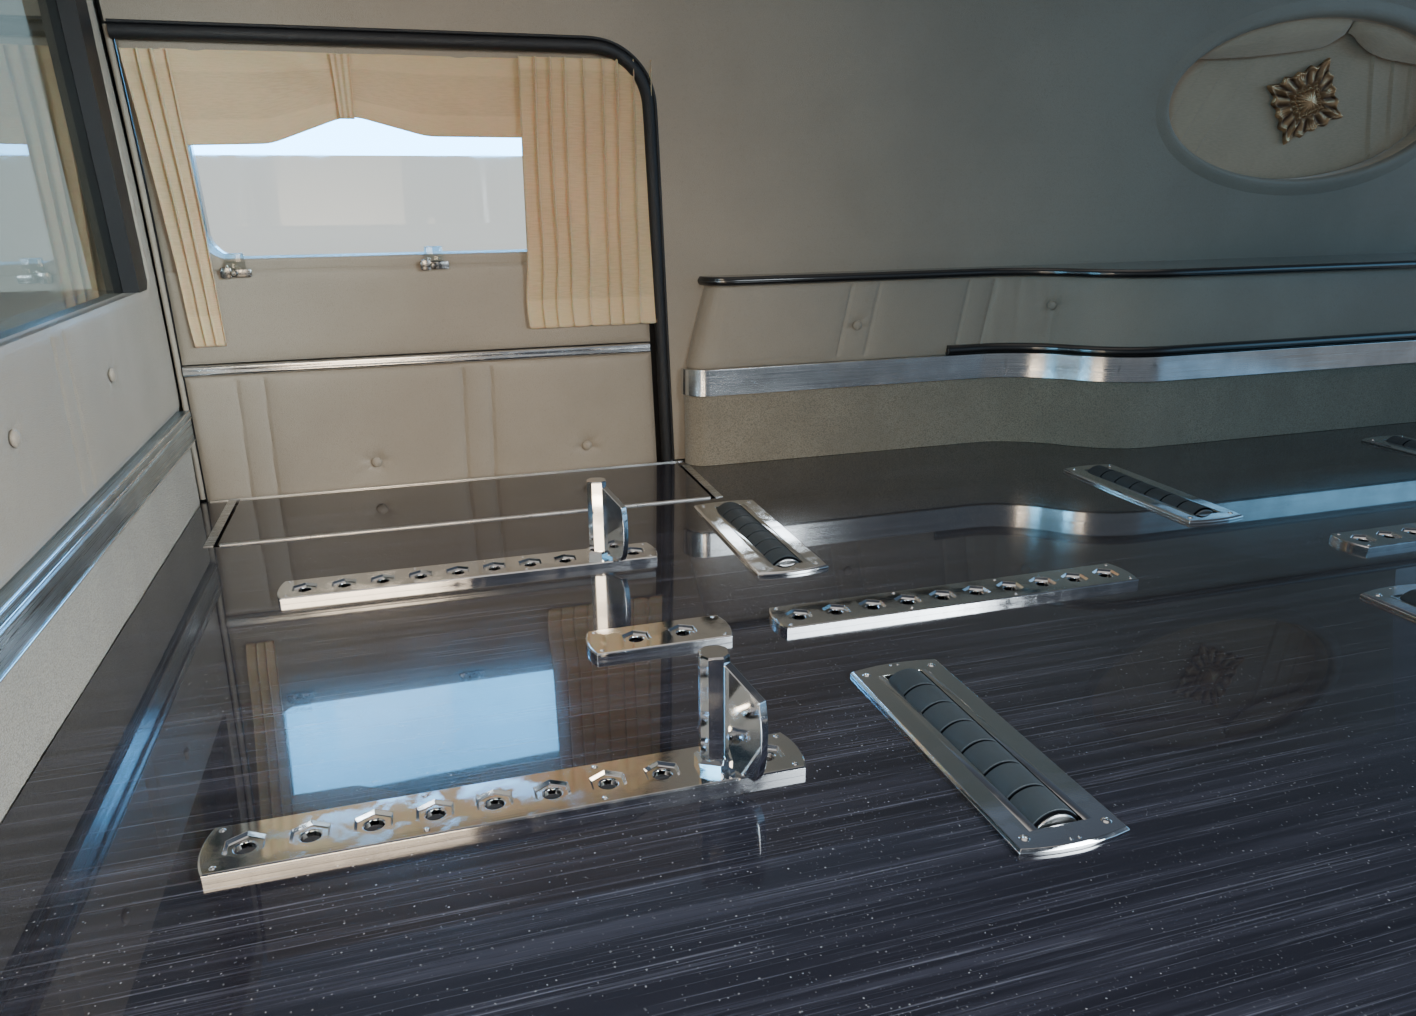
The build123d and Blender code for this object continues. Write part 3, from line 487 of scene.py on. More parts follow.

# Painted shade in the rollers' grooves: the rubber is painted near-black at even steps along Y, and loses
# its specular there.
ROLLER_Y, ROLLER_HALF, RING_PITCH = 0.313, 0.135, 0.270 / 7
tree = roller_rubber.node_tree
shader = tree.nodes["Principled BSDF"]
split = node(tree, "SeparateXYZ")
tree.links.new(tree.nodes["Texture Coordinate"].outputs["Object"], split.inputs[0])
along = maths(tree, "SUBTRACT", maths(tree, "ABSOLUTE", split.outputs["Y"], 0.0), ROLLER_Y - ROLLER_HALF)
turns = maths(tree, "FRACT", maths(tree, "DIVIDE", along, RING_PITCH), 0.0)
from_groove = maths(tree, "ABSOLUTE", maths(tree, "SUBTRACT", turns, 0.5), 0.0)
painted_groove_shade = ramp(tree, from_groove, 0.445, 0.475)
rubber_color = shader.inputs["Base Color"].links[0].from_socket
# painted shade: the grooves are mixed to near-black
tree.links.new(blend_colors(tree, painted_groove_shade, rubber_color, (0.004, 0.004, 0.005)),
               shader.inputs["Base Color"])
tree.links.new(ramp(tree, painted_groove_shade, 0.0, 0.6, 0.35, 0.0), shader.inputs["Specular IOR Level"])
print("vinyl and rubber", vinyl.name, roller_rubber.name, seal_rubber.name)

# %% [markdown]
# Carpet is a short cut pile. Its tufts are small cells with a rough bump, and the pile
# leans in patches, which shows as lighter and darker areas.

# %% Carpet
def pile(name, color):
    material, tree, shader, place = finish(
        name, color, 0.95, Sheen_Weight=0.35, Sheen_Roughness=0.45, Specular_IOR_Level=0.2)
    tufts = node(tree, "TexVoronoi", values={"Scale": 520.0, "Randomness": 1.0})
    tree.links.new(place, tufts.inputs["Vector"])
    fibres = node(tree, "TexNoise", values={"Scale": 900.0, "Detail": 4.0, "Roughness": 0.7})
    tree.links.new(place, fibres.inputs["Vector"])
    lean = place_effect(tree, tone_tree, place, Scale=11.0)
    speck = maths(tree, "MULTIPLY", tufts.outputs["Distance"], fibres.outputs["Fac"])
    # painted shade: the gaps between the tufts are darkened
    shade = ramp(tree, speck, 0.08, 0.42)
    toned = blend_colors(tree, lean.outputs["Tone"], tuple(0.80 * part for part in color), color)
    toned = blend_colors(tree, shade, toned, tuple(0.52 * part for part in color))
    tree.links.new(toned, shader.inputs["Base Color"])
    height = maths(tree, "SUBTRACT", fibres.outputs["Fac"], tufts.outputs["Distance"])
    add_bump(tree, shader, height, 0.0016)
    return material


carpet = pile("tan_carpet", srgb(178, 165, 144))
print("finish", carpet.name)

# %% [markdown]
# Curtains and the recess lining are woven cloth. Their threads follow the cloth's own
# UV map, measured in metres, so that the weave bends with every fold.

# %% Cloth
def cloth(name, color, threads, depth, **sockets):
    material, tree, shader, place = finish(name, color, 0.85, Sheen_Weight=0.4, Sheen_Roughness=0.4,
                                           **sockets)
    flat = node(tree, "UVMap", uv_map="cloth")
    woven = place_effect(tree, weave_tree, flat.outputs["UV"], Threads=threads)
    slow = place_effect(tree, tone_tree, place, Scale=7.0)
    toned = blend_colors(tree, slow.outputs["Tone"], tuple(0.86 * part for part in color), color)
    toned = blend_colors(tree, maths(tree, "MULTIPLY", woven.outputs["Slubs"], 0.3), toned,
                         tuple(min(1.2 * part, 0.95) for part in color))
    double = node(tree, "Attribute", attribute_name="double")
    toned = blend_colors(tree, maths(tree, "MULTIPLY", double.outputs["Fac"], 0.45), toned,
                         tuple(min(1.25 * part, 0.95) for part in color))
    tree.links.new(toned, shader.inputs["Base Color"])
    add_bump(tree, shader, woven.outputs["Height"], depth)
    add_bump(tree, shader, woven.outputs["Slubs"], 2 * depth)
    return material


curtain_cloth = cloth("curtain_cloth", srgb(207, 179, 143), 180.0, 0.00012, Subsurface_Weight=0.35,
                      Subsurface_Scale=0.004)
lining_cloth = cloth("lining_cloth", srgb(206, 179, 150), 230.0, 0.0001)
print("cloth", curtain_cloth.name, lining_cloth.name)

# %% Paint, wood, glass and bronze
def glossy_paint(name, color, coat_roughness):
    material, tree, shader, place = finish(
        name, color, 0.35, Coat_Weight=1.0, Coat_Roughness=coat_roughness)
    peel = node(tree, "TexNoise", values={"Scale": 160.0, "Detail": 2.0})
    tree.links.new(place, peel.inputs["Vector"])
    film = place_effect(tree, dust_tree, place, Specks=300.0, Patches=5.0, Amount=0.25)
    tree.links.new(blend_colors(tree, film.outputs["Mask"], color, (0.25, 0.24, 0.22)),
                   shader.inputs["Base Color"])
    add_bump(tree, shader, peel.outputs["Fac"], 0.0001, 0.3)
    return material


body_paint = glossy_paint("body_paint", (0.006, 0.006, 0.007), 0.03)
ledge_gloss = glossy_paint("ledge_gloss", (0.008, 0.007, 0.007), 0.06)

frame_steel, tree, shader, place = finish("frame_steel", (0.035, 0.036, 0.038), 0.5)
scale_noise = place_effect(tree, tone_tree, place, Scale=24.0)
tree.links.new(blend_colors(tree, scale_noise.outputs["Tone"], (0.025, 0.026, 0.028), (0.06, 0.06, 0.06)),
               shader.inputs["Base Color"])
tree.links.new(ramp(tree, scale_noise.outputs["Tone"], 0.0, 1.0, 0.42, 0.62), shader.inputs["Roughness"])
powder = node(tree, "TexNoise", values={"Scale": 700.0, "Detail": 2.0})
tree.links.new(place, powder.inputs["Vector"])
add_bump(tree, shader, powder.outputs["Fac"], 0.0003, 0.5)

batten_wood, tree, shader, place = finish("batten_wood", srgb(176, 134, 86), 0.6)
rings = node(tree, "TexNoise", values={"Scale": 1.0, "Detail": 6.0, "Distortion": 0.6})
tree.links.new(stretch(tree, place, (3.0, 70.0, 70.0)), rings.inputs["Vector"])
tree.links.new(blend_colors(tree, ramp(tree, rings.outputs["Fac"], 0.35, 0.65), srgb(186, 146, 98),
                            srgb(128, 88, 50)), shader.inputs["Base Color"])
add_bump(tree, shader, rings.outputs["Fac"], 0.0004, 0.6)

clear_glass, tree, shader, place = finish(
    "clear_glass", (0.93, 0.97, 0.95), 0.0, Transmission_Weight=1.0, IOR=1.46)
tinted_glass, tree, shader, place = finish(
    "tinted_glass", (0.31, 0.40, 0.40), 0.0, Transmission_Weight=1.0, IOR=1.46)
for glass in (clear_glass, tinted_glass):
    tree = glass.node_tree
    film = place_effect(tree, tone_tree, tree.nodes["Texture Coordinate"].outputs["Object"], Scale=9.0)
    tree.links.new(ramp(tree, film.outputs["Tone"], 0.4, 1.0, 0.0, 0.05),
                   tree.nodes["Principled BSDF"].inputs["Roughness"])

bronze, tree, shader, place = finish("ornament_bronze", (0.36, 0.21, 0.09), 0.38, Metallic=0.6)
depth_mark = node(tree, "Attribute", attribute_name="relief")
tree.links.new(blend_colors(tree, depth_mark.outputs["Fac"], (0.110, 0.050, 0.024), (0.92, 0.54, 0.27)),
               shader.inputs["Base Color"])
tree.links.new(ramp(tree, depth_mark.outputs["Fac"], 0.0, 1.0, 0.55, 0.26), shader.inputs["Roughness"])
print("paint, wood, glass, bronze", body_paint.name, batten_wood.name, clear_glass.name, bronze.name)

# %% [markdown]
# ## Finish the CAD pieces
# A CAD piece whose shape is right keeps it, and only gets its finish.

# %% Put finishes on CAD pieces
cad_finishes = (
    (laminate, ("deck_board", "flap_right")),
    (frame_steel, ("deck_rails", "deck_joists", "deck_legs", "floor_beams")),
    (batten_wood, ("flap_battens",)),
    (satin, ("edge_strips",)),
    (hinge_steel, ("flap_hinges", "flap_right_leaf", "door_hinges_fixed", "door_hinges_moving")),
    (chrome, ("bier_plate_left", "bier_plate_right", "bier_plate_centre_short", "bier_plate_centre_front",
              "bier_plate_centre_rear", "pin_left_post", "pin_left_pad", "pin_right_post",
              "pin_right_pad", "roller_carriers")),
    (roller_rubber, ("roller_front_right", "roller_front_left", "roller_middle_right",
                     "roller_middle_left", "roller_rear_right", "roller_rear_left")),
    (seal_rubber, ("partition_seal", "door_seal")),
    (vinyl, ("partition_wall", "partition_pad", "quarter_pad", "door_pad_lower", "door_pad_upper",
             "recess_rim")),
    (carpet, ("partition_carpet", "quarter_carpet")),
    (partition_metal, ("partition_strip",)),
    (bright_strip, ("quarter_strip", "door_strip")),
    (ledge_gloss, ("quarter_ledge", "quarter_rail")),
    (body_paint, ("side_wall", "door_shell")),
    (clear_glass, ("door_glass",)),
    (tinted_glass, ("partition_glass",)),
    (curtain_cloth, ("door_valance", "door_curtain_rear", "door_curtain_front")),
    (lining_cloth, ("recess_lining",)),
    (bronze, ("recess_ornament",)),
)
dressed = set()
for material, names in cad_finishes:
    for name in names:
        nodes[name].data.materials.clear()
        nodes[name].data.materials.append(material)
        dressed.add(name)
print("CAD pieces without a finish:", sorted(set(nodes) - dressed))

# %% [markdown]
# ## Making pieces
# Every new piece starts as a bmesh: a grid, cone, circle or ball that operators and a
# shaping rule turn into the real form. The shaping rules below give each point of a
# wall grid its place on the curved side wall, whose section leans in and then arches.

# %% Helpers that turn a bmesh into a piece
def piece(name, bm, material, body, angle=40):
    """Writes the bmesh to an object that rides on a body."""
    mesh = bpy.data.meshes.new(name)
    bm.to_mesh(mesh)
    bm.free()
    mesh.shade_smooth()
    mesh.set_sharp_from_angle(angle=math.radians(angle))
    made = bpy.data.objects.new(name, mesh)
    bpy.context.scene.collection.objects.link(made)
    mesh.materials.append(material)
    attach(made, body)
    return made


def shaped_grid(across, up, rule, flat=(1.0, 1.0)):
    """A grid whose points are placed by rule(u, v), with a UV map in metres of cloth."""
    bm = bmesh.new()
    bmesh.ops.create_grid(bm, x_segments=across, y_segments=up, size=0.5)
    layer = bm.loops.layers.uv.new("cloth")
    for face in bm.faces:
        for loop in face.loops:
            loop[layer].uv = ((loop.vert.co.x + 0.5) * flat[0], (loop.vert.co.y + 0.5) * flat[1])
    for vert in bm.verts:
        vert.co = rule(vert.co.x + 0.5, vert.co.y + 0.5)
    return bm


def thicken(made, thickness, levels=0):
    """A live thickness away from the side that the faces look to, and smoothing."""
    wall = made.modifiers.new("thickness", "SOLIDIFY")
    wall.thickness = thickness
    wall.offset = -1
    if levels:
        smooth = made.modifiers.new("smooth", "SUBSURF")
        smooth.levels = smooth.render_levels = levels
    return made


def settled(made):
    """The object with its modifiers applied."""
    graph = bpy.context.evaluated_depsgraph_get()
    mesh = bpy.data.meshes.new_from_object(made.evaluated_get(graph))
    made.modifiers.clear()
    made.data = mesh
    return made


def cut_away(made, cutter_bm):
    """Takes a closed shape out of a piece."""
    cutter_mesh = bpy.data.meshes.new("cutter")
    bmesh.ops.recalc_face_normals(cutter_bm, faces=cutter_bm.faces)
    cutter_bm.to_mesh(cutter_mesh)
    cutter_bm.free()
    cutter = bpy.data.objects.new("cutter", cutter_mesh)
    bpy.context.scene.collection.objects.link(cutter)
    trim = made.modifiers.new("cut", "BOOLEAN")
    trim.operation = "DIFFERENCE"
    trim.solver = "EXACT"
    trim.object = cutter
    bpy.context.view_layer.update()
    settled(made)
    bpy.data.objects.remove(cutter)
    return made


def prism(outline, y0, y1):
    """An outline in X and Z, drawn out along Y."""
    bm = bmesh.new()
    bmesh.ops.create_circle(bm, segments=len(outline), radius=1, cap_ends=True)
    bm.verts.ensure_lookup_table()
    for vert, (x, z) in zip(bm.verts, outline):
        vert.co = (x, y0, z)
    grown = bmesh.ops.extrude_face_region(bm, geom=bm.faces[:])
    moved = [part for part in grown["geom"] if isinstance(part, bmesh.types.BMVert)]
    bmesh.ops.translate(bm, verts=moved, vec=(0, y1 - y0, 0))
    return bm


def bead(name, points, radius, material, body, closed=False, sides=4):
    """A smooth round bead along a line of points."""
    line = bpy.data.curves.new(name, "CURVE")
    line.dimensions = "3D"
    spline = line.splines.new("NURBS")
    spline.points.add(len(points) - 1)
    for target, point in zip(spline.points, points):
        target.co = (*point, 1)
    spline.use_cyclic_u = closed
    spline.order_u = 3
    spline.use_endpoint_u = not closed
    spline.resolution_u = 3
    line.bevel_depth = radius
    line.bevel_resolution = sides
    line.use_fill_caps = True
    drawn = bpy.data.objects.new(name + "_line", line)
    bpy.context.scene.collection.objects.link(drawn)
    bpy.context.view_layer.update()
    mesh = bpy.data.meshes.new_from_object(drawn.evaluated_get(bpy.context.evaluated_depsgraph_get()))
    bpy.data.objects.remove(drawn)
    bm = bmesh.new()
    bm.from_mesh(mesh)
    bmesh.ops.remove_doubles(bm, verts=bm.verts, dist=1e-6)
    bmesh.ops.recalc_face_normals(bm, faces=bm.faces)
    return piece(name, bm, material, body)


print("helpers ready")

# %% [markdown]
# ## Soft edges for the hard parts
# A real plate has no knife edges: each edge has a small radius that catches the light.
# A copy of the CAD mesh is merged, its flat areas are dissolved into whole faces, and a
# narrow bevel runs round what is left. Weighted normals keep the wide faces flat, as a
# mirror needs. The copy then stands for the CAD piece.


def soften(name, width, segments=2, angle=28):
    source = nodes[name]
    bm = bmesh.new()
    bm.from_mesh(source.data)
    bmesh.ops.remove_doubles(bm, verts=bm.verts, dist=2e-6)
    bmesh.ops.dissolve_limit(bm, angle_limit=math.radians(0.6), verts=bm.verts, edges=bm.edges)
    material = source.data.materials[0]
    made = piece(name + "_soft", bm, material, source["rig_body"], angle=180)
    edge = made.modifiers.new("edges", "BEVEL")
    edge.width = width
    edge.segments = segments
    edge.limit_method = "ANGLE"
    edge.angle_limit = math.radians(angle)
    flatter = made.modifiers.new("flat_faces", "WEIGHTED_NORMAL")
    flatter.weight = 100
    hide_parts(name)
    return made


# edge radius in metres, steps round it, names
SOFT_EDGES = (
    (0.0004, 2, ("bier_plate_left", "bier_plate_right", "bier_plate_centre_short",
                 "bier_plate_centre_front", "bier_plate_centre_rear", "edge_strips")),
    (0.0005, 2, ("pin_left_post", "pin_right_post", "roller_carriers")),
    (0.0012, 3, ("pin_left_pad", "pin_right_pad")),
    (0.0009, 2, ("partition_strip", "quarter_strip")),
    (0.0030, 3, ("quarter_rail",)),
    (0.0045, 4, ("quarter_ledge",)),
)
softened = [soften(name, width, steps) for width, steps, names in SOFT_EDGES for name in names]
print("softened", len(softened))

# %% [markdown]
# ## The side wall's shape
# The side wall leans in below the belt line and arches above it. The door's rear edge
# turns about a hinge line outside the skin, so the gap stays even when it swings.

# %% Wall and door rules, in metres above the deck
HINGE_X, HINGE_Y = 0.0025, 0.934
DOOR_TOP = 0.745


def wall_y(z):
    rise = max(z - 0.300, 0.0)
    return 0.778 - 0.06 * z - rise * rise / 4.4


def on_wall(x, z, inwards=0.0):
    """A point on the wall's inner face, or that far into the bay."""
    return Vector((x, wall_y(z) - inwards, z + DECK))


def swing_x(z, radius):
    return HINGE_X + math.sqrt(radius * radius - (HINGE_Y - wall_y(z)) ** 2)


def door_edge(z, inset=0.0):
    """Where the door's rear edge is at a height, moved in by inset."""
    top = DOOR_TOP - inset
    turn = 0.100 - inset
    low = min(z, top - turn)
    radius = 0.859 - 0.033 * low - inset
    over = max(z - (top - turn), 0.0)
    if over > 0:
        radius += math.sqrt(max(turn * turn - over * over, 0.0)) - turn
    return swing_x(min(z, top), radius)


def door_outline(inset, low, front, steps=14):
    """The door's edge in X and Z: up the front, over the top and down the rear."""
    top = DOOR_TOP - inset
    turn = 0.100 - inset
    points = [(front, low), (front, top)]
    for i in range(9):
        lift = math.radians(90 - 90 * i / 8)
        z = top - turn + turn * math.sin(lift)
        points.append((door_edge(z, inset), z))
    for i in range(1, steps + 1):
        z = (top - turn) + (low - top + turn) * i / steps
        points.append((door_edge(z, inset), z))
    return points


print("door edge at deck, belt and shoulder", [round(door_edge(z), 4) for z in (0.0, 0.3, 0.6)])

# %% [markdown]
# ## Wall lining
# One sheet of vinyl covers the wall above the ledge, round the door and the oval
# recess. It is a grid laid on the wall, a little wavy as glued vinyl is, with the door
# opening and the oval cut out of it.

# %% Wall lining
OVAL = (2.224, 0.675, 0.369, 0.156)


def oval_point(angle, grow=0.0, inwards=0.0):
    x, z, half_x, half_z = OVAL
    return on_wall(x + (half_x + grow) * math.cos(angle), z + (half_z + grow) * math.sin(angle), inwards)


def lining_rule(u, v):
    x = 0.001 + 2.797 * u
    z = 0.004 + 0.874 * v
    wave = 0.0012 * noise.noise(Vector((x * 2.2, z * 3.1, 0.3)))
    return on_wall(x, z, 0.0022 + wave)


bm = shaped_grid(280, 88, lining_rule)
hidden = [face for face in bm.faces if face.calc_center_median().x > 0.93
          and face.calc_center_median().z < DECK + 0.335]
bmesh.ops.delete(bm, geom=hidden, context="FACES")
lining = piece("wall_lining", bm, vinyl, "root")
thicken(lining, -0.0018)
settled(lining)
cut_away(lining, prism([(x, z + DECK) for x, z in door_outline(0.0, -0.05, -0.01)], 0.5, 1.0))
oval_outline = []
for i in range(96):
    at = oval_point(2 * math.pi * i / 96, 0.004)
    oval_outline.append((at.x, at.z))
cut_away(lining, prism(oval_outline, 0.5, 1.0))
lining.data.shade_smooth()
lining.data.set_sharp_from_angle(angle=math.radians(40))
print("lining faces", len(lining.data.polygons))

# %% [markdown]
# ## Door seal
# The seal is a hollow rubber bulb round the opening. A round bead that follows the
# opening reads right, and a thin lip beside it covers the edge of the lining.

# %% Door seal
def seal_path(inset, inwards):
    """Along the top and down the rear of the opening, close enough for a smooth bead."""
    points = door_outline(inset, 0.004, 0.004, steps=10)[1:]
    top = [(0.004 + 0.085 * i, points[0][1]) for i in range(9)]
    return [on_wall(x, z, inwards) for x, z in top + points[1:]]


seal = bead("door_seal_bulb", seal_path(0.011, 0.001), 0.0108, seal_rubber, "root", sides=6)
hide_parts("door_seal")
lip = bead("door_seal_lip", seal_path(-0.001, 0.0035), 0.0028, seal_rubber, "root", sides=3)
print("seal faces", len(seal.data.polygons), len(lip.data.polygons))

# %% [markdown]
# ## Padded panels
# A padded panel is vinyl over foam: it swells between its edges, and it is held down
# by sewn channels and by covered buttons. Each panel starts as a fine grid with two
# coordinates, a along it and b up it. Cloth pressure blows the grid up while its edges,
# seams and buttons are pinned. Then the grid is smoothed, the stitched grooves and the
# button dimples are pressed in, and the back is closed.

# %% Rules for seams and buttons
BUTTON_R = 0.0095


def smooth_step(value, low, high):
    part = min(max((value - low) / (high - low), 0.0), 1.0)
    return part * part * (3 - 2 * part)


def puff(distance, reach):
    """A round swell that is 0 at a held edge and 1 at reach from it."""
    part = min(max(distance / reach, 0.0), 1.0)
    return math.sqrt(1 - (1 - part) ** 2)


def pressed_in(a, b, edge, seams, buttons):
    """How far stitches and buttons pull the vinyl down at a place."""
    down = 0.0
    near_edge = smooth_step(edge, 0.004, 0.016)
    for seam_a, lean in seams:
        away = abs(a - seam_a - lean * b)
        down += near_edge * 0.0030 * math.exp(-(away / 0.0030) ** 2)
        down += near_edge * 0.0014 * math.exp(-(away / 0.015) ** 2)
    for button_a, button_b in buttons:
        away = math.hypot(a - button_a, b - button_b)
        angle = math.atan2(b - button_b, a - button_a)
        down += 0.0048 * math.exp(-(away / 0.0135) ** 2)
        ring = math.exp(-((away - 0.020) / 0.012) ** 2)
        down += 0.0006 * ring * math.cos(5 * angle + 40 * button_a) * (1 + math.cos(2 * angle))
    return down


# %% Build, swell and finish a set of panels
panels = []


def keep_grid_places(bm):
    """Marks every point of a flat unit grid with its place across and up, 0 to 1."""
    across = bm.verts.layers.float.new("across")
    up = bm.verts.layers.float.new("up")
    for vert in bm.verts:
        vert[across] = vert.co.x + 0.5
        vert[up] = vert.co.y + 0.5


def panel(name, cells, rule, place, seams, buttons, swell, depth, body, material=None):
    """Starts a panel: rule(u, v) gives (a, b, distance to the edge), place(a, b, h) a point."""
    bm = bmesh.new()
    bmesh.ops.create_grid(bm, x_segments=cells[0], y_segments=cells[1], size=0.5)
    where = bm.loops.layers.uv.new("cloth")
    rim = bm.verts.layers.float.new("edge")
    keep_grid_places(bm)
    spots = {}
    for vert in bm.verts:
        a, b, edge = rule(vert.co.x + 0.5, vert.co.y + 0.5)
        spots[vert.index] = (a, b)
        vert[rim] = edge
        vert.co = place(a, b, 0.0)
    for face in bm.faces:
        for loop in face.loops:
            loop[where].uv = spots[loop.vert.index]
    made = piece(name, bm, material or vinyl, body)
    panels.append((made, place, seams, buttons, swell, depth))
    return made


def held_points(made, seams, buttons):
    """Points that foam and thread hold down: edges, seams and buttons."""
    bm = bmesh.new()
    bm.from_mesh(made.data)
    where = bm.loops.layers.uv["cloth"]
    held = []
    for vert in bm.verts:
        a, b = vert.link_loops[0][where].uv
        on_seam = any(abs(a - seam - lean * b) < 0.0045 for seam, lean in seams)
        on_button = any(math.hypot(a - x, b - z) < 0.011 for x, z in buttons)
        if vert.is_boundary or on_seam or on_button:
            held.append(vert.index)
    bm.free()
    return held


def swell_with_cloth(frames=14):
    """Runs all panels as pinned cloth under pressure, and returns their new points."""
    scene = bpy.context.scene
    for made, place, seams, buttons, swell, depth in panels:
        group = made.vertex_groups.new(name="held")
        group.add(held_points(made, seams, buttons), 1.0, "REPLACE")
        cloth_mod = made.modifiers.new("cloth", "CLOTH")
        settings = cloth_mod.settings
        settings.quality = 4
        settings.use_pressure = True
        settings.uniform_pressure_force = 4
        settings.effector_weights.gravity = 0
        settings.vertex_group_mass = "held"
        settings.tension_stiffness = settings.compression_stiffness = 8
        settings.bending_stiffness = 1.5
        cloth_mod.point_cache.frame_start = 1
        cloth_mod.point_cache.frame_end = frames
        cloth_mod.collision_settings.use_collision = False
    for step in range(1, frames + 1):
        scene.frame_set(step)
    graph = bpy.context.evaluated_depsgraph_get()
    blown = []
    for made, *rest in panels:
        mesh = made.evaluated_get(graph).data
        blown.append([vert.co.copy() for vert in mesh.vertices])
    for made, *rest in panels:
        made.modifiers.clear()
        made.vertex_groups.clear()
    scene.frame_set(1)
    return blown


def swell_panels():
    blown = swell_with_cloth()
    for i, (made, place, seams, buttons, swell, depth) in enumerate(panels):
        bm = bmesh.new()
        bm.from_mesh(made.data)
        bm.verts.ensure_lookup_table()
        where = bm.loops.layers.uv["cloth"]
        rim = bm.verts.layers.float["edge"]
        lifts = []
        for vert in bm.verts:
            a, b = vert.link_loops[0][where].uv
            outward = (place(a, b, 0.001) - place(a, b, 0.0)).normalized()
            lift = 0.6 * swell
            if blown:
                lift = max((blown[i][vert.index] - vert.co).dot(outward), 0.0)
            lifts.append((vert, outward, lift))
        mean = sum(lift for vert, outward, lift in lifts) / len(lifts)
        for vert, outward, lift in lifts:
            ripple = swell * 0.45 * math.tanh(lift / max(1.5 * mean, 1e-5))
            full = swell * 0.55 * puff(vert[rim], 0.020)
            vert.co += outward * (full + ripple * puff(vert[rim], 0.012))
        bmesh.ops.subdivide_edges(bm, edges=bm.edges, cuts=1, use_grid_fill=True, smooth=0.6)
        for vert in bm.verts:
            a, b = vert.link_loops[0][where].uv
            outward = (place(a, b, 0.001) - place(a, b, 0.0)).normalized()
            vert.co -= outward * pressed_in(a, b, vert[rim], seams, buttons)
        close_back(bm, place, where, depth)
        bm.to_mesh(made.data)
        bm.free()
        made.data.shade_smooth()
        made.data.set_sharp_from_angle(angle=math.radians(50))
        print(made.name, len(made.data.polygons), "faces")


def close_back(bm, place, where, depth):
    """Draws the outline back by depth and fills it with upright strips, which follow a bend."""
    outline = [edge for edge in bm.edges if edge.is_boundary]
    spots = {}
    for edge in outline:
        for vert in edge.verts:
            spots[vert.co.copy().freeze()] = tuple(vert.link_loops[0][where].uv)
    grown = bmesh.ops.extrude_edge_only(bm, edges=outline)
    moved = [part for part in grown["geom"] if isinstance(part, bmesh.types.BMVert)]
    for vert in moved:
        a, b = spots[vert.co.copy().freeze()]
        vert.co += place(a, b, -depth) - place(a, b, 0.0)
    across = bm.verts.layers.float["across"]
    up = bm.verts.layers.float["up"]
    low = sorted((vert for vert in moved if vert[up] < 1e-5), key=lambda vert: vert[across])
    high = sorted((vert for vert in moved if vert[up] > 1 - 1e-5), key=lambda vert: vert[across])
    first = sorted((vert for vert in moved if vert[across] < 1e-5), key=lambda vert: vert[up])
    last = sorted((vert for vert in moved if vert[across] > 1 - 1e-5), key=lambda vert: vert[up])
    bm.faces.new(first + [high[1], low[1]])
    for i in range(1, len(low) - 2):
        bm.faces.new((low[i], low[i + 1], high[i + 1], high[i]))
    bm.faces.new([low[-2]] + last + [high[-2]])
    bmesh.ops.recalc_face_normals(bm, faces=bm.faces)


def cover_buttons(name, places, rule, body):
    """Covered buttons: shallow domes with a rolled edge, seated in their dimples."""
    bm = bmesh.new()
    for a, b in places:
        base, lifted = rule(a, b, 0.0), rule(a, b, 0.001)
        turn = (lifted - base).to_track_quat("Z", "Y").to_matrix().to_4x4()
        made = bmesh.ops.create_uvsphere(bm, u_segments=20, v_segments=10, radius=BUTTON_R)
        for vert in made["verts"]:
            vert.co.z *= 0.50
        bmesh.ops.transform(bm, matrix=Matrix.Translation(base) @ turn, verts=made["verts"])
    made = piece(name, bm, vinyl, body)
    return made


print("panel tools ready, cloth", "on")

# %% [markdown]
# ## Door pads
# The door carries two pads, with a bright strip between them. Pairs of sewn channels
# run up the lower pad, and two buttons hold it. The upper pad rolls over at its top into
# the ledge below the window.

# %% Door pads
LOWER_SEAMS = ((0.078, 0.03), (0.121, 0.03), (0.452, 0.03), (0.502, 0.03))
LOWER_BUTTONS = ((0.294, 0.045), (0.679, 0.045))


def on_door(a, b, h):
    return on_wall(a, b, h - 0.010)


def door_panel_rule(low, high, front, inset):
    def rule(u, v):
        b = low + (high - low) * v
        rear = door_edge(b, inset)
        a = front + (rear - front) * u
        return a, b, min(a - front, rear - a, b - low, high - b)
    return rule


panel("door_padding_lower", (136, 74), door_panel_rule(-0.229, 0.2185, 0.006, 0.029), on_door,
      LOWER_SEAMS, LOWER_BUTTONS, 0.010, 0.011, "door")
panel("door_padding_upper", (136, 27), door_panel_rule(0.2385, 0.392, 0.006, 0.029), on_door,
      (), (), 0.010, 0.011, "door")
cover_buttons("door_buttons", LOWER_BUTTONS, lambda a, b, h: on_door(a, b, h + 0.0055), "door")
print("door panels started", len(panels))

# %% [markdown]
# ## Partition pad
# One padded panel wraps the whole partition round its window: the pad below the glass
# runs on into the pillars beside it. The grid goes once round the window, from the
# rubber seal out to the walls, with rounded corners at the glass.

# %% Partition pad
GLASS_CORNERS = ((0.640, 0.812), (0.706, 0.370))
PAD_LOW, PAD_HIGH = 0.166, 0.878
PARTITION_BUTTONS = ((0.414, 0.285), (0.054, 0.285), (-0.306, 0.285))
PARTITION_SEAMS = ((0.220, 0.0), (0.262, 0.0), (-0.140, 0.0), (-0.098, 0.0))


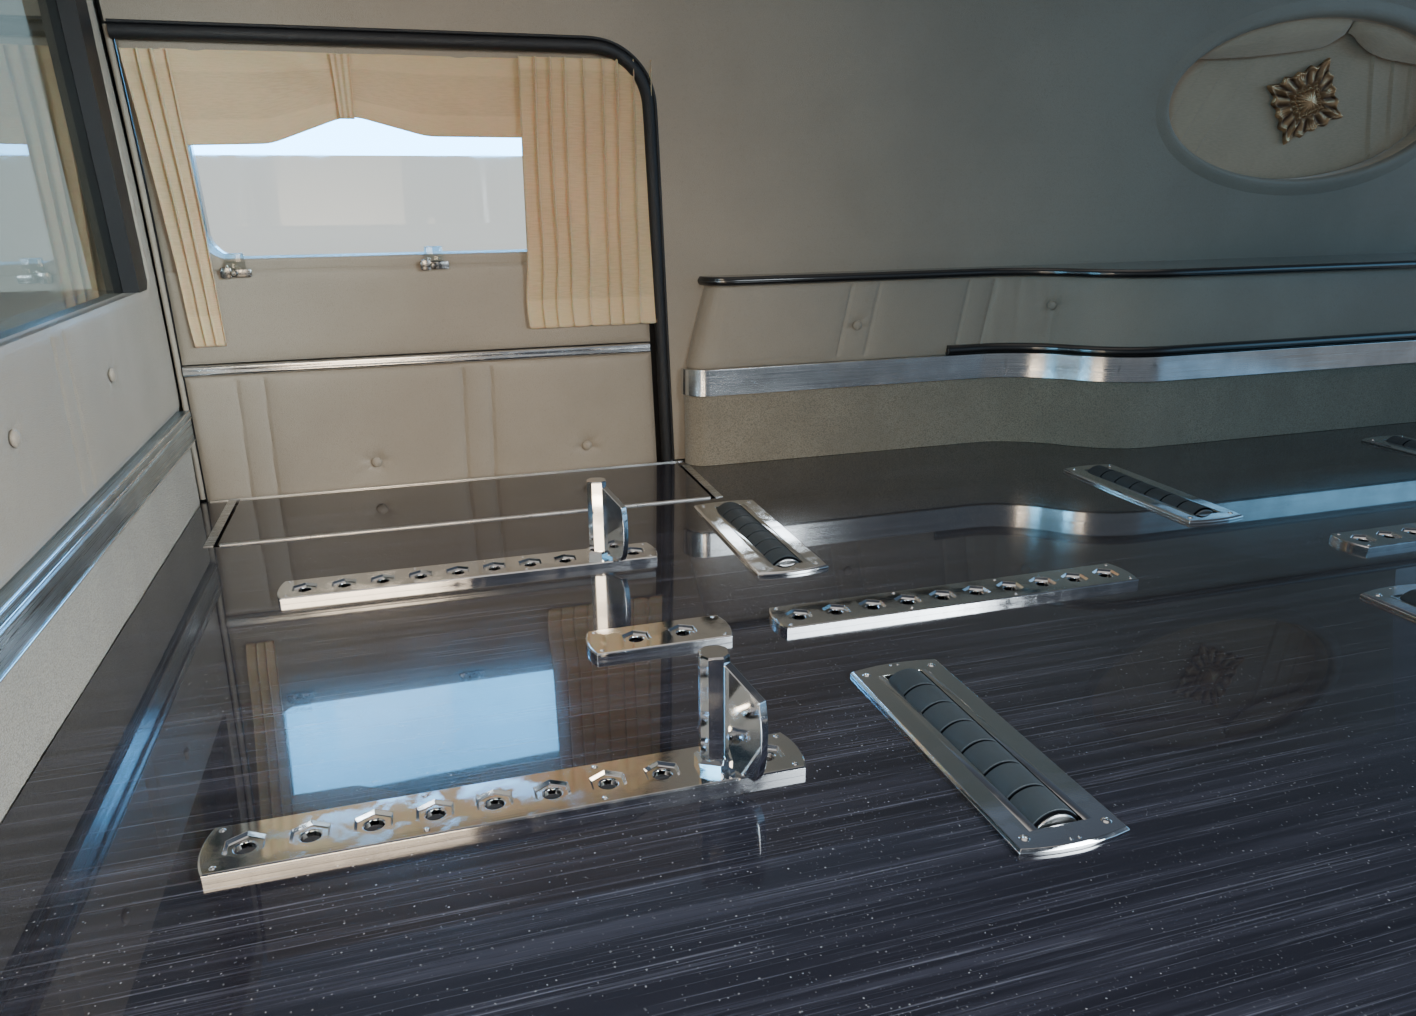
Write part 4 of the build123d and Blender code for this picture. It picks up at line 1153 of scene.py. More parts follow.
def partition_half(t):
    """Inner and outer point at t along half the loop, from below (0) to above (1)."""
    top, foot = GLASS_CORNERS
    if t < 0.45:
        part = t / 0.45
        inner = (part * (foot[0] - 0.03), foot[1])
        outer = (part * (wall_y(PAD_LOW) - 0.004), PAD_LOW)
    elif t < 0.5:
        angle = math.radians(90 * (t - 0.45) / 0.05)
        inner = (foot[0] - 0.03 + 0.03 * math.sin(angle), foot[1] + 0.03 - 0.03 * math.cos(angle))
        z = PAD_LOW + 0.06 * (t - 0.45) / 0.05
        outer = (wall_y(z) - 0.004, z)
    elif t < 0.8:
        part = (t - 0.5) / 0.3
        inner = (foot[0] + part * (top[0] - foot[0]), foot[1] + 0.03 + part * (top[1] - foot[1] - 0.03))
        z = PAD_LOW + 0.06 + part * (PAD_HIGH - PAD_LOW - 0.06)
        outer = (wall_y(z) - 0.004, z)
    else:
        part = (t - 0.8) / 0.2
        inner = ((1 - part) * top[0], top[1])
        outer = ((1 - part) * (wall_y(PAD_HIGH) - 0.004), PAD_HIGH)
    return inner, outer


def partition_rule(u, v):
    side = 1 if u > 0.5 else -1
    (inner_a, inner_b), (outer_a, outer_b) = partition_half(abs(u - 0.5) * 2)
    a = side * (inner_a + (outer_a - inner_a) * v)
    b = inner_b + (outer_b - inner_b) * v
    width = math.hypot(outer_a - inner_a, outer_b - inner_b)
    return a, b, min(v, 1 - v) * width


def on_partition(a, b, h):
    return Vector((h - 0.0105, a, b + DECK))


partition_pad_piece = panel("partition_padding", (420, 30), partition_rule, on_partition, PARTITION_SEAMS,
                            PARTITION_BUTTONS, 0.0102, 0.012, "root")
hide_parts("partition_pad")
cover_buttons("partition_buttons", PARTITION_BUTTONS, lambda a, b, h: on_partition(a, b, h + 0.0055),
              "root")
print("partition panel started")

# %% [markdown]
# ## Quarter trim
# Carpet, a bright strip and a raked pad follow one plan line: a rounded front corner, a
# straight run, and an S-bend in over the wheelhouse. The plan is measured by its length
# s, so seams and buttons keep their spacing round the bends.

# %% The trim's plan and the quarter pad
TRIM_X, TRIM_Y, TRIM_R, HOUSE_Y = 0.866, 0.718, 0.040, 0.570
BEND_A, BEND_B = 1.480, 1.810
BEND_TURN = 2 * math.atan2(TRIM_Y - HOUSE_Y, BEND_B - BEND_A)
BEND_R = (BEND_B - BEND_A) / (2 * math.sin(BEND_TURN))
STRIP_TOP, PAD_TOP, RAKE = 0.188, 0.345, 0.038


def trim_plan(s, out=0.0, back=0.0):
    """The point at length s along the trim's plan, moved outwards by out."""
    corner = Vector((TRIM_X + back + TRIM_R, TRIM_Y + TRIM_R))
    lengths = (TRIM_R * math.pi / 2, BEND_A - corner.x, BEND_R * BEND_TURN, BEND_R * BEND_TURN)
    if s < lengths[0]:
        angle = math.pi + s / TRIM_R
        ray = Vector((math.cos(angle), math.sin(angle)))
        return corner + ray * (TRIM_R - out)
    s -= lengths[0]
    if s < lengths[1]:
        return Vector((corner.x + s, TRIM_Y + out))
    s -= lengths[1]
    if s < lengths[2]:
        angle = math.pi / 2 - s / BEND_R
        ray = Vector((math.cos(angle), math.sin(angle)))
        return Vector((BEND_A, TRIM_Y - BEND_R)) + ray * (BEND_R + out)
    s -= lengths[2]
    if s < lengths[3]:
        angle = 1.5 * math.pi - BEND_TURN + s / BEND_R
        ray = Vector((math.cos(angle), math.sin(angle)))
        return Vector((BEND_B, HOUSE_Y + BEND_R)) + ray * (BEND_R - out)
    s -= lengths[3]
    return Vector((BEND_B + s, HOUSE_Y + out))


def length_at(x, back=0.0):
    """The length s at which the plan reaches x."""
    low, high = TRIM_R * math.pi / 2, 2.4
    for step in range(30):
        middle = (low + high) / 2
        if trim_plan(middle, 0.0, back).x < x:
            low = middle
        else:
            high = middle
    return low


TRIM_END = length_at(2.799)


def on_quarter(a, b, h):
    """A place on the raked pad, a along the upright trim and b up."""
    back = RAKE * (b - STRIP_TOP) / (PAD_TOP - STRIP_TOP)
    reach = (length_at_end[0] - back * length_at_end[1]) / length_at_end[0]
    spot = trim_plan(a * reach, 0.0095 - h, back)
    return Vector((spot.x, spot.y, b + DECK))


length_at_end = (TRIM_END, 1.0)
QUARTER_SEAMS = tuple((length_at(x), 0.0) for x in (1.168, 1.227, 1.427, 1.483))
QUARTER_BUTTONS = ((length_at(1.196), 0.257), (length_at(1.600), 0.284))


def quarter_rule(u, v):
    a = 0.0005 + (TRIM_END - 0.001) * u
    b = STRIP_TOP + 0.0005 + (PAD_TOP - STRIP_TOP - 0.001) * v
    return a, b, min(a + 0.01, TRIM_END - a, b - STRIP_TOP, PAD_TOP - b)


quarter = panel("quarter_padding", (340, 27), quarter_rule, on_quarter, QUARTER_SEAMS, QUARTER_BUTTONS,
                0.0095, 0.010, "root")
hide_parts("quarter_pad")
cover_buttons("quarter_buttons", QUARTER_BUTTONS, lambda a, b, h: on_quarter(a, b, h + 0.0055),
              "root")
swell_panels()
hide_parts("door_pad_lower")
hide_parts("door_pad_upper")
print("trim length", round(TRIM_END, 3), "panels", len(panels))

# %% [markdown]
# ## Rounded noses
# The ledge on top of the pad and the rail above the strip are black lacquered wood with a
# full round front edge. A bead along the trim's plan gives each of them its nose.

# %% Noses of the ledge and the rail
LEDGE_NOSE_Z, RAIL_NOSE_Z = 0.3495, STRIP_TOP + 0.0105
ledge_start = 0.0
while trim_plan(ledge_start, -0.002, RAKE).y > wall_y(LEDGE_NOSE_Z) + 0.001:
    ledge_start += 0.001
ledge_end = length_at(2.795, RAKE)
rail_start, rail_end = length_at(1.408), length_at(2.795)


def along_plan(start, end, out, back, z):
    """Points at even steps of length along the trim's plan."""
    points = []
    for i in range(97):
        spot = trim_plan(start + (end - start) * i / 96, out, back)
        points.append((spot.x, spot.y, DECK + z))
    return points


bead("ledge_nose", along_plan(ledge_start, ledge_end, -0.002, RAKE, LEDGE_NOSE_Z), 0.0085,
     ledge_gloss, "root", sides=5)
bead("rail_nose", along_plan(rail_start, rail_end, 0.0, 0.0, RAIL_NOSE_Z), 0.0100,
     ledge_gloss, "root", sides=5)
print("noses from", round(ledge_start, 3), "and", round(rail_start, 3))

# %% [markdown]
# ## Carpet
# The carpet is glued to the kick panels. Its face is a fine grid with a soft, uneven
# nap, and its long edges roll under. The pile itself is in the material.

# %% Carpet faces
def nap(point):
    slow = noise.noise(point * 9.0) * 0.0009
    return slow + noise.noise(point * 170.0) * 0.0005


def carpet_face(name, cells, rule, place, depth, replaced):
    bm = bmesh.new()
    bmesh.ops.create_grid(bm, x_segments=cells[0], y_segments=cells[1], size=0.5)
    where = bm.loops.layers.uv.new("cloth")
    keep_grid_places(bm)
    spots = {}
    for vert in bm.verts:
        a, b, edge = rule(vert.co.x + 0.5, vert.co.y + 0.5)
        spots[vert.index] = (a, b)
        vert.co = place(a, b, 0.0)
        vert.co = place(a, b, nap(vert.co) - 0.003 * (1 - puff(edge, 0.005)))
    for face in bm.faces:
        for loop in face.loops:
            loop[where].uv = spots[loop.vert.index]
    close_back(bm, place, where, depth)
    made = piece(name, bm, carpet, "root", angle=60)
    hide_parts(replaced)
    return made


def quarter_carpet_rule(u, v):
    a = 0.0005 + (TRIM_END - 0.001) * u
    b = 0.0005 + 0.137 * v
    return a, b, min(a + 0.01, TRIM_END - a, b + 0.004, 0.1375 - b)


def on_quarter_carpet(a, b, h):
    spot = trim_plan(a, 0.0015 - h)
    return Vector((spot.x, spot.y, b + DECK))


def partition_carpet_rule(u, v):
    b = 0.0005 + 0.109 * v
    half = wall_y(0.110) - 0.005
    a = half * (2 * u - 1)
    return a, b, min(half - abs(a), b + 0.004, 0.1095 - b)


carpet_side = carpet_face("quarter_carpet_pile", (560, 40), quarter_carpet_rule, on_quarter_carpet,
                          0.017, "quarter_carpet")
carpet_front = carpet_face("partition_carpet_pile", (400, 32), partition_carpet_rule,
                           lambda a, b, h: Vector((h - 0.0015, a, b + DECK)), 0.010, "partition_carpet")
print("carpet faces", len(carpet_side.data.polygons), len(carpet_front.data.polygons))

# %% [markdown]
# ## Front welt
# Where the door meets the partition, a round vinyl welt hides the gap, and a rubber bead
# behind it keeps the daylight out. Both stay on the wall beside the closed door.

# %% Welt between partition and door
welt_line = [Vector((0.0008, wall_y(z) + 0.001, z + DECK)) for z in (0.004, 0.15, 0.30, 0.45, 0.60, 0.742)]
bead("front_welt", welt_line, 0.0044, vinyl, "root", sides=4)
gap_line = [Vector((-0.0012, wall_y(z) + 0.014, z + DECK)) for z in (0.004, 0.15, 0.30, 0.45, 0.60, 0.742)]
bead("front_gap_seal", gap_line, 0.0060, seal_rubber, "root", sides=3)

# %% [markdown]
# ## Window surround
# The door's inner frame is covered in the same vinyl. It is one curved panel with the
# window cut out, and a reveal of the same vinyl runs from it to the glass.

# %% Window surround and reveal
WINDOW_BOX = (0.060, 0.772, 0.403, 0.700)


def window_line(inset, corner, steps=8):
    """The window's outline, with rounded corners."""
    x0, x1, z0, z1 = WINDOW_BOX
    points = []
    for x, z, start in ((x1, z1, 0), (x0, z1, 90), (x0, z0, 180), (x1, z0, 270)):
        sx = 1 if x == x1 else -1
        sz = 1 if z == z1 else -1
        for i in range(steps + 1):
            angle = math.radians(start + 90 * i / steps)
            points.append((x - sx * (inset + corner) + corner * math.cos(angle),
                           z - sz * (inset + corner) + corner * math.sin(angle)))
    return points


def surround_rule(u, v):
    z = 0.386 + (0.729 - 0.386) * v
    x = 0.0065 + (door_edge(z, 0.016) - 0.0065) * u
    return on_wall(x, z, -0.009 - 0.0006 * noise.noise(Vector((x * 3, z * 4, 1.7))))


surround = piece("window_surround", shaped_grid(90, 40, surround_rule), vinyl, "door")
thicken(surround, 0.010)
settled(surround)
cut_away(surround, prism([(x, z + DECK) for x, z in window_line(0.006, 0.040)], 0.5, 1.0))

bm = bmesh.new()
reveal_line = window_line(0.003, 0.042)
rings = []
for outwards in (0.012, 0.030, 0.060, 0.095):
    made = bmesh.ops.create_circle(bm, segments=len(reveal_line), radius=1)
    for vert, (x, z) in zip(made["verts"], reveal_line):
        vert.co = on_wall(x, z, -outwards)
    rings.append({edge for vert in made["verts"] for edge in vert.link_edges})
for near, far in zip(rings, rings[1:]):
    bmesh.ops.bridge_loops(bm, edges=list(near | far))
bmesh.ops.recalc_face_normals(bm, faces=bm.faces)
reveal = piece("window_reveal", bm, vinyl, "door")
thicken(reveal, 0.002)
settled(reveal)
print("surround", len(surround.data.polygons), "reveal", len(reveal.data.polygons))

# %% [markdown]
# ## Curtains
# A gathered curtain is one flat cloth, pushed together on its heading until it stands
# in rounded folds. In plan the cloth runs as a wave that leans over itself. The folds
# are deep at the heading and open out towards the hem, which is a double turn of cloth.

# %% Curtains
def fold_wave(u, count, seed):
    """Sideways and outward swing of the cloth at u, from -1 to 1."""
    drift = 0.55 * noise.noise(Vector((u * 4.0, seed, 0.0)))
    turn = 2 * math.pi * (count * u + drift)
    return -math.sin(turn), math.cos(turn + 0.7 * math.sin(turn))


def mark_double(made, rule):
    """Stores where the cloth lies double: hems and headings, from the cloth map."""
    mark = made.data.attributes.new("double", "FLOAT", "POINT")
    where = made.data.uv_layers["cloth"].data
    for loop in made.data.loops:
        mark.data[loop.vertex_index].value = rule(*where[loop.index].uv)


def curtain(name, top, foot, z_span, count, seed, flat, bulge, replaced):
    """A gathered curtain between two spans in x, at its heading and at its hem."""
    low, high = z_span

    def rule(u, v):
        left = foot[0] + (top[0] - foot[0]) * v
        right = foot[1] + (top[1] - foot[1]) * v
        body = smooth_step(v, 0.0, 0.5)
        side, out = fold_wave(u + 0.010 * noise.noise(Vector((v * 3, u * 6, seed))), count, seed)
        deep = 0.62 + 0.38 * body
        ends = puff(u, 0.06) * puff(1 - u, 0.06)
        reach = (right - left) / (2 * math.pi * count) * 1.35
        x = left + (right - left) * u + side * reach * deep * ends
        x -= bulge * math.exp(-((v - 0.10) / 0.12) ** 2) * (1 - u)
        inwards = 0.0078 + out * 0.0042 * deep * ends
        inwards -= 0.0030 * smooth_step(v, 0.955, 1.0)
        inwards += 0.0009 * noise.noise(Vector((u * 9, v * 5, seed + 3)))
        z = low + (high - low) * v + 0.0016 * out * (1 - v) ** 3
        return on_wall(x, z, inwards)

    made = piece(name, shaped_grid(int(26 * count), 110, rule, flat), curtain_cloth, "door",
                 angle=70)
    mark_double(made, lambda a, b: 1.0 if b < 0.052 or b > flat[1] - 0.020 else 0.0)
    thicken(made, 0.0008)
    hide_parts(replaced)
    return made


rear_curtain = curtain("rear_curtain", (0.582, 0.800), (0.584, 0.817), (0.276, 0.716), 8, 2.3,
                       (0.335, 0.440), 0.006, "door_curtain_rear")
front_curtain = curtain("front_curtain", (0.014, 0.072), (0.036, 0.081), (0.271, 0.712), 3, 5.1,
                        (0.099, 0.442), 0.002, "door_curtain_front")
print("curtains", len(rear_curtain.data.polygons), len(front_curtain.data.polygons))

# %% [markdown]
# ## Valance
# The valance is cut to a shallow arch and drawn up by a pleated strap in its middle.
# Soft folds run from the strap to the sides, and a wide hem follows its lower edge.

# %% Valance and its strap
VALANCE_EDGE = ((0.062, 0.581), (0.194, 0.584), (0.301, 0.622), (0.323, 0.625), (0.432, 0.596),
                (0.588, 0.595))
VALANCE_TOP = 0.714
VALANCE_FLAT = (0.56, 0.135)


def between(table, x):
    """A value from a table of (x, value), smoothed at its corners."""
    total = weight = 0.0
    for i in range(-3, 4):
        at = min(max(x + 0.006 * i, table[0][0]), table[-1][0])
        for (xa, va), (xb, vb) in zip(table, table[1:]):
            if xa <= at <= xb:
                share = 4 - abs(i)
                total += share * (va + (vb - va) * (at - xa) / (xb - xa))
                weight += share
                break
    return total / weight


def valance_rule(u, v):
    x = VALANCE_EDGE[0][0] + (VALANCE_EDGE[-1][0] - VALANCE_EDGE[0][0]) * u
    low = between(VALANCE_EDGE, x)
    z = low + (VALANCE_TOP - low) * v
    away = abs(x - 0.312)
    fan = (z - 0.625) / (away + 0.05)
    folds = (0.0022 * math.sin(9.0 * fan + 1.3) * smooth_step(away, 0.01, 0.06)
             * smooth_step(0.30 - away, 0.0, 0.1))
    sag = 0.0040 * math.sin(math.pi * v) * puff(min(u, 1 - u), 0.2)
    pinch = -0.0025 * math.exp(-(away / 0.018) ** 2)
    ripple = 0.0012 * noise.noise(Vector((x * 14, z * 8, 2.0)))
    return on_wall(x, z, -0.0065 + folds + sag + pinch + ripple)


valance = piece("valance", shaped_grid(180, 46, valance_rule, VALANCE_FLAT), curtain_cloth, "door",
                angle=70)
mark_double(valance, lambda a, b: 1.0 if b < 0.036 or b > 0.103 else 0.0)
thicken(valance, 0.0009)
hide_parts("door_valance")

STRAP_FLAT = (0.040, 0.095)


def strap_rule(u, v):
    width = 0.022 + 0.007 * v
    pleats = 0.0013 * math.cos(2 * math.pi * 3 * u)
    x = 0.3125 + width * (u - 0.5)
    z = 0.6205 + (0.7125 - 0.6205) * v
    tuck = 0.004 * (1 - puff(v, 0.06))
    return on_wall(x, z, 0.0008 + pleats - tuck)


strap = piece("valance_strap", shaped_grid(30, 40, strap_rule, STRAP_FLAT), curtain_cloth, "door",
              angle=70)
mark_double(strap, lambda a, b: 0.35)
thicken(strap, 0.0009, levels=1)
print("valance", len(valance.data.polygons), "strap", len(strap.data.polygons))

# %% [markdown]
# ## Window clips
# Two clips hold the inner pane on its ledge. Each has a folded plate, a round knob and
# a short clear tab that reaches up the glass.

# %% Window clips
def bevelled_block(bm, size, at, width, turn=None):
    """A block with rounded edges, added to a bmesh."""
    made = bmesh.ops.create_cube(bm, size=1)
    verts = made["verts"]
    bmesh.ops.scale(bm, vec=size, verts=verts)
    edges = list({edge for vert in verts for edge in vert.link_edges})
    rounded = bmesh.ops.bevel(bm, geom=edges, offset=width, segments=2, affect="EDGES", profile=0.5,
                              material=-1, clamp_overlap=True)
    parts = {vert for face in rounded["faces"] for vert in face.verts}
    place = Matrix.Translation(at) @ (turn.to_4x4() if turn else Matrix.Identity(4))
    bmesh.ops.transform(bm, matrix=place, verts=list(parts))


def turned_knob(bm, profile, at, turn, segments=24):
    """A turned part: (radius, height) points spun about its axis."""
    line = [bm.verts.new((radius, 0, height)) for radius, height in profile]
    edges = [bm.edges.new(pair) for pair in zip(line, line[1:])]
    spun = bmesh.ops.spin(bm, geom=line + edges, cent=(0, 0, 0), axis=(0, 0, 1), angle=2 * math.pi,
                          steps=segments, use_merge=True)
    made = set(line)
    for part in spun["geom_last"]:
        made.update(part.verts if isinstance(part, bmesh.types.BMEdge) else [part])
    grown = set(made)
    frontier = set(made)
    while frontier:
        frontier = {edge.other_vert(vert) for vert in frontier for edge in vert.link_edges} - grown
        grown |= frontier
    bmesh.ops.transform(bm, matrix=Matrix.Translation(at) @ turn.to_4x4(), verts=list(grown))


to_bay = Vector((0, -1, 0)).to_track_quat("Z", "X").to_matrix()
clip_bm, tab_bm = bmesh.new(), bmesh.new()
for x, z in ((0.113, 0.387), (0.426, 0.391)):
    y = wall_y(z)
    bevelled_block(clip_bm, (0.047, 0.005, 0.013), (x, y - 0.0035, z + DECK), 0.0012)
    bevelled_block(clip_bm, (0.015, 0.004, 0.017), (x - 0.014, y - 0.005, z + DECK + 0.001), 0.001)
    turned_knob(clip_bm, ((0.0, 0.0105), (0.0035, 0.0102), (0.0052, 0.0085), (0.0055, 0.005),
                          (0.0035, 0.0042), (0.0030, 0.0)), (x - 0.002, y - 0.004, z + DECK), to_bay)
    bevelled_block(tab_bm, (0.030, 0.002, 0.030), (x, y - 0.0012, z + DECK + 0.016), 0.0006)
for bm in (clip_bm, tab_bm):
    bmesh.ops.remove_doubles(bm, verts=bm.verts, dist=1e-6)
    bmesh.ops.recalc_face_normals(bm, faces=bm.faces)
clips = piece("window_clips", clip_bm, clip_metal, "door", angle=35)
piece("window_clip_tabs", tab_bm, clear_glass, "door", angle=35)
print("clips", len(clips.data.polygons))

# %% [markdown]
# ## Door strip
# The strip between the door pads is a rolled half-round of bright metal.

# %% Door strip
STRIP_END = door_edge(0.2285, 0.033)


def half_round(u, v):
    x = 0.0075 + (STRIP_END - 0.0075) * u
    angle = math.pi * v
    shoulder = 0.0015 * math.sin(angle) ** 8
    return on_wall(x, 0.2285 - 0.0085 * math.cos(angle),
                   0.0055 * math.sin(angle) ** 0.8 + 0.0004 - shoulder)


bm = shaped_grid(60, 16, half_round)
outline = [edge for edge in bm.edges if edge.is_boundary]
grown = bmesh.ops.extrude_edge_only(bm, edges=outline)
moved = [part for part in grown["geom"] if isinstance(part, bmesh.types.BMVert)]
bmesh.ops.translate(bm, verts=moved, vec=(0, 0.012, 0))
bmesh.ops.holes_fill(bm, edges=[edge for edge in bm.edges if edge.is_boundary], sides=0)
bmesh.ops.recalc_face_normals(bm, faces=bm.faces)
door_bar = piece("door_bright_strip", bm, bright_strip, "door", angle=45)
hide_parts("door_strip")
print("door strip length", round(STRIP_END, 3))

# %% [markdown]
# ## Oval recess
# The recess is a blind window. A padded roll runs round its mouth, its back is lined in
# pleated cloth, and two swags hang from its top, drawn together off its middle.

# %% Recess roll, return and pleated back
# growth of the oval, height into the bay
ROLL_SECTION = ((0.040, 0.0018), (0.030, 0.0040), (0.021, 0.0068), (0.013, 0.0088), (0.006, 0.0092),
                (0.001, 0.0075), (-0.002, 0.0040), (-0.003, -0.0010), (-0.003, -0.0060))


def roll_rule(u, v):
    part = v * (len(ROLL_SECTION) - 1)
    step = min(int(part), len(ROLL_SECTION) - 2)
    (grow_a, high_a), (grow_b, high_b) = ROLL_SECTION[step:step + 2]
    share = part - step
    angle = 2 * math.pi * u
    pucker = (0.0004 * noise.noise(Vector((40 * math.cos(angle), 40 * math.sin(angle), v)))
              * math.sin(math.pi * v))
    return oval_point(angle, grow_a + (grow_b - grow_a) * share,
                      high_a + (high_b - high_a) * share + pucker)


bm = shaped_grid(160, 24, roll_rule)
bmesh.ops.remove_doubles(bm, verts=bm.verts, dist=1e-6)
bmesh.ops.smooth_vert(bm, verts=[vert for vert in bm.verts if not vert.is_boundary], factor=0.5,
                      use_axis_x=True, use_axis_y=True, use_axis_z=True)
bmesh.ops.recalc_face_normals(bm, faces=bm.faces)
if sum(face.normal.y for face in bm.faces) > 0:
    bmesh.ops.reverse_faces(bm, faces=bm.faces)
roll = piece("recess_roll", bm, vinyl, "root", angle=70)
thicken(roll, 0.0016)
settled(roll)
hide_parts("recess_rim")

bm = bmesh.new()
rings = []
for inwards, grow in ((0.0, -0.002), (-0.016, -0.0035), (-0.034, -0.004), (-0.050, -0.004)):
    made = bmesh.ops.create_circle(bm, segments=96, radius=1)
    for i, vert in enumerate(made["verts"]):
        vert.co = oval_point(2 * math.pi * i / 96, grow, inwards)
    rings.append({edge for vert in made["verts"] for edge in vert.link_edges})
for near, far in zip(rings, rings[1:]):
    bmesh.ops.bridge_loops(bm, edges=list(near | far))
where = bm.loops.layers.uv.new("cloth")
for face in bm.faces:
    for loop in face.loops:
        loop[where].uv = (loop.vert.co.x, loop.vert.co.z)
bmesh.ops.recalc_face_normals(bm, faces=bm.faces)
for face in bm.faces:
    face.normal_flip()
recess_return = piece("recess_return", bm, lining_cloth, "root")
thicken(recess_return, 0.0012)
settled(recess_return)

PLEATS = ((1.961, 0.436, -1), (2.015, 0.42, -1), (2.081, 0.488, -1),
          (2.387, -0.45, 1), (2.442, -0.45, 1), (2.492, -0.44, 1))
BACK_FLAT = (0.84, 0.31)


def recess_back_rule(u, v):
    a, b = 2 * u - 1, 2 * v - 1
    x = OVAL[0] + (OVAL[2] - 0.003) * a * math.sqrt(1 - b * b / 2)
    z = OVAL[1] + (OVAL[3] - 0.003) * b * math.sqrt(1 - a * a / 2)
    raised = 0.0
    for top_x, lean, side in PLEATS:
        past = side * (x - top_x - lean * (z - 0.750))
        lap = smooth_step(past, -0.001, 0.0018)
        raised += 0.0058 * lap * math.exp(-max(past, 0.0) / 0.024)
    soft = 0.0008 * noise.noise(Vector((x * 10, z * 4, 4.4)))
    return on_wall(x, z, -0.0465 + raised + soft)


back = piece("recess_back_cloth", shaped_grid(280, 90, recess_back_rule, BACK_FLAT), lining_cloth, "root",
             angle=60)
thicken(back, 0.0008)
settled(back)
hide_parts("recess_lining")
print("recess faces", len(roll.data.polygons), len(recess_return.data.polygons), len(back.data.polygons))

# %% Swags
SWAG_LEFT = ((1.902, 0.7490), (1.951, 0.7490), (2.044, 0.755), (2.141, 0.766), (2.223, 0.777),
             (2.268, 0.806))
SWAG_RIGHT = ((2.274, 0.808), (2.299, 0.791), (2.343, 0.771), (2.395, 0.760), (2.478, 0.752),
              (2.546, 0.7490))


def oval_top(x):
    part = (x - OVAL[0]) / (OVAL[2] - 0.003)
    return OVAL[1] + (OVAL[3] - 0.003) * math.sqrt(max(1 - part * part, 0.0))


def swag(name, edge, flat, drawn_to):
    x0, x1 = edge[0][0], edge[-1][0]

    def rule(u, v):
        x = x0 + (x1 - x0) * u
        low = min(between(edge, x), oval_top(x) - 0.0004)
        z = low + (oval_top(x) - low) * v
        full = math.sin(math.pi * min(v * 0.62 + 0.08, 1.0)) * puff(u, 0.25) * puff(1 - u, 0.08)
        fan = (z - 0.79) / (abs(x - drawn_to) + 0.04)
        folds = 0.0012 * math.sin(11 * fan) * smooth_step(0.20 - abs(x - drawn_to), 0.0, 0.12)
        return on_wall(x, z, -0.030 + 0.020 * full + folds)

    made = piece(name, shaped_grid(110, 26, rule, flat), lining_cloth, "root", angle=70)
    thicken(made, 0.0025, levels=1)
    return made


left_swag = swag("recess_swag_left", SWAG_LEFT, (0.38, 0.06), 2.272)
right_swag = swag("recess_swag_right", SWAG_RIGHT, (0.29, 0.06), 2.272)
print("swags", len(left_swag.data.polygons), len(right_swag.data.polygons))

# %% [markdown]
# ## Carved ornament
# A small bronze cartouche sits on the recess lining. It is a disc whose rim is drawn out
# into a leafy lozenge, and its relief is raised by a rule: a smooth boss in the middle,
# a corded ring round it, and fluted leaves that curl up at their tips. The height is
# kept as an attribute, so that the finish can darken the hollows.

# %% Ornament
BOSS = (2.237, 0.677, 0.108, 0.080)
bm = bmesh.new()
bmesh.ops.create_grid(bm, x_segments=288, y_segments=60, size=0.5)
mark = bm.verts.layers.float.new("relief")
lean = math.atan2(wall_y(0.600) - wall_y(0.750), 0.150)
for vert in bm.verts:
    turn = 2 * math.pi * (vert.co.x + 0.5)
    part = 0.02 + 0.98 * (vert.co.y + 0.5)
    reach = 1 / (abs(math.cos(turn)) ** 1.1 + abs(math.sin(turn)) ** 1.1) ** (1 / 1.1)
    lobes = 1 + 0.055 * math.cos(16 * turn) + 0.035 * math.cos(8 * turn) * math.cos(4 * turn)
    radius = part * reach * lobes
    flutes = math.cos(16 * turn + 2.2 * math.sin(4 * turn) * part) * smooth_step(part, 0.42, 0.62)
    veins = math.cos(48 * turn + 3 * math.sin(8 * turn)) * smooth_step(part, 0.55, 0.85)
    boss = 0.0085 * math.sqrt(max(1 - (part / 0.30) ** 2, 0.0))
    cord = 0.0042 * math.exp(-((part - 0.38) / 0.045) ** 2) * (1 + 0.35 * math.cos(36 * turn))
    scrolls = 0.0035 * math.exp(-((part - 0.60) / 0.09) ** 2) * (1 + math.cos(8 * turn)) / 2
    leaves = (0.0026 * flutes + 0.0009 * veins) * (1 - 0.5 * part) + 0.0045 * (1 - part)
    curl = 0.0032 * math.exp(-((part - 0.93) / 0.06) ** 2)
    hollow = -0.0022 * math.exp(-((part - 0.47) / 0.035) ** 2)
    height = 0.0035 + boss + cord + scrolls + leaves + curl + hollow
    height *= smooth_step(1 - part, -0.02, 0.035)
    side = math.cos(turn) * radius * BOSS[2]
    rise = math.sin(turn) * radius * BOSS[3]
    roll_by = math.radians(-14)
    x = BOSS[0] + side * math.cos(roll_by) - rise * math.sin(roll_by)
    z = BOSS[1] + side * math.sin(roll_by) + rise * math.cos(roll_by)
    vert[mark] = min(max((flutes + 1) * 0.30 + veins * 0.12 + boss * 60 + cord * 55 + curl * 70, 0.0), 1.0)
    vert.co = on_wall(x, z, -0.0400 + height)
bmesh.ops.remove_doubles(bm, verts=bm.verts, dist=0.00012)
bmesh.ops.holes_fill(bm, edges=[edge for edge in bm.edges if edge.is_boundary], sides=0)
bmesh.ops.recalc_face_normals(bm, faces=bm.faces)
ornament = piece("carved_ornament", bm, bronze, "root", angle=60)
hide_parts("recess_ornament")
print("ornament", len(ornament.data.polygons))

# %% [markdown]
# ## Screws and washers
# Countersunk screws hold the plates and the roller frames. One screw head is turned
# once, the two arms of its cross are cut one after the other, because a cutter that runs
# through itself leaves nothing, and the mesh is copied to every place.

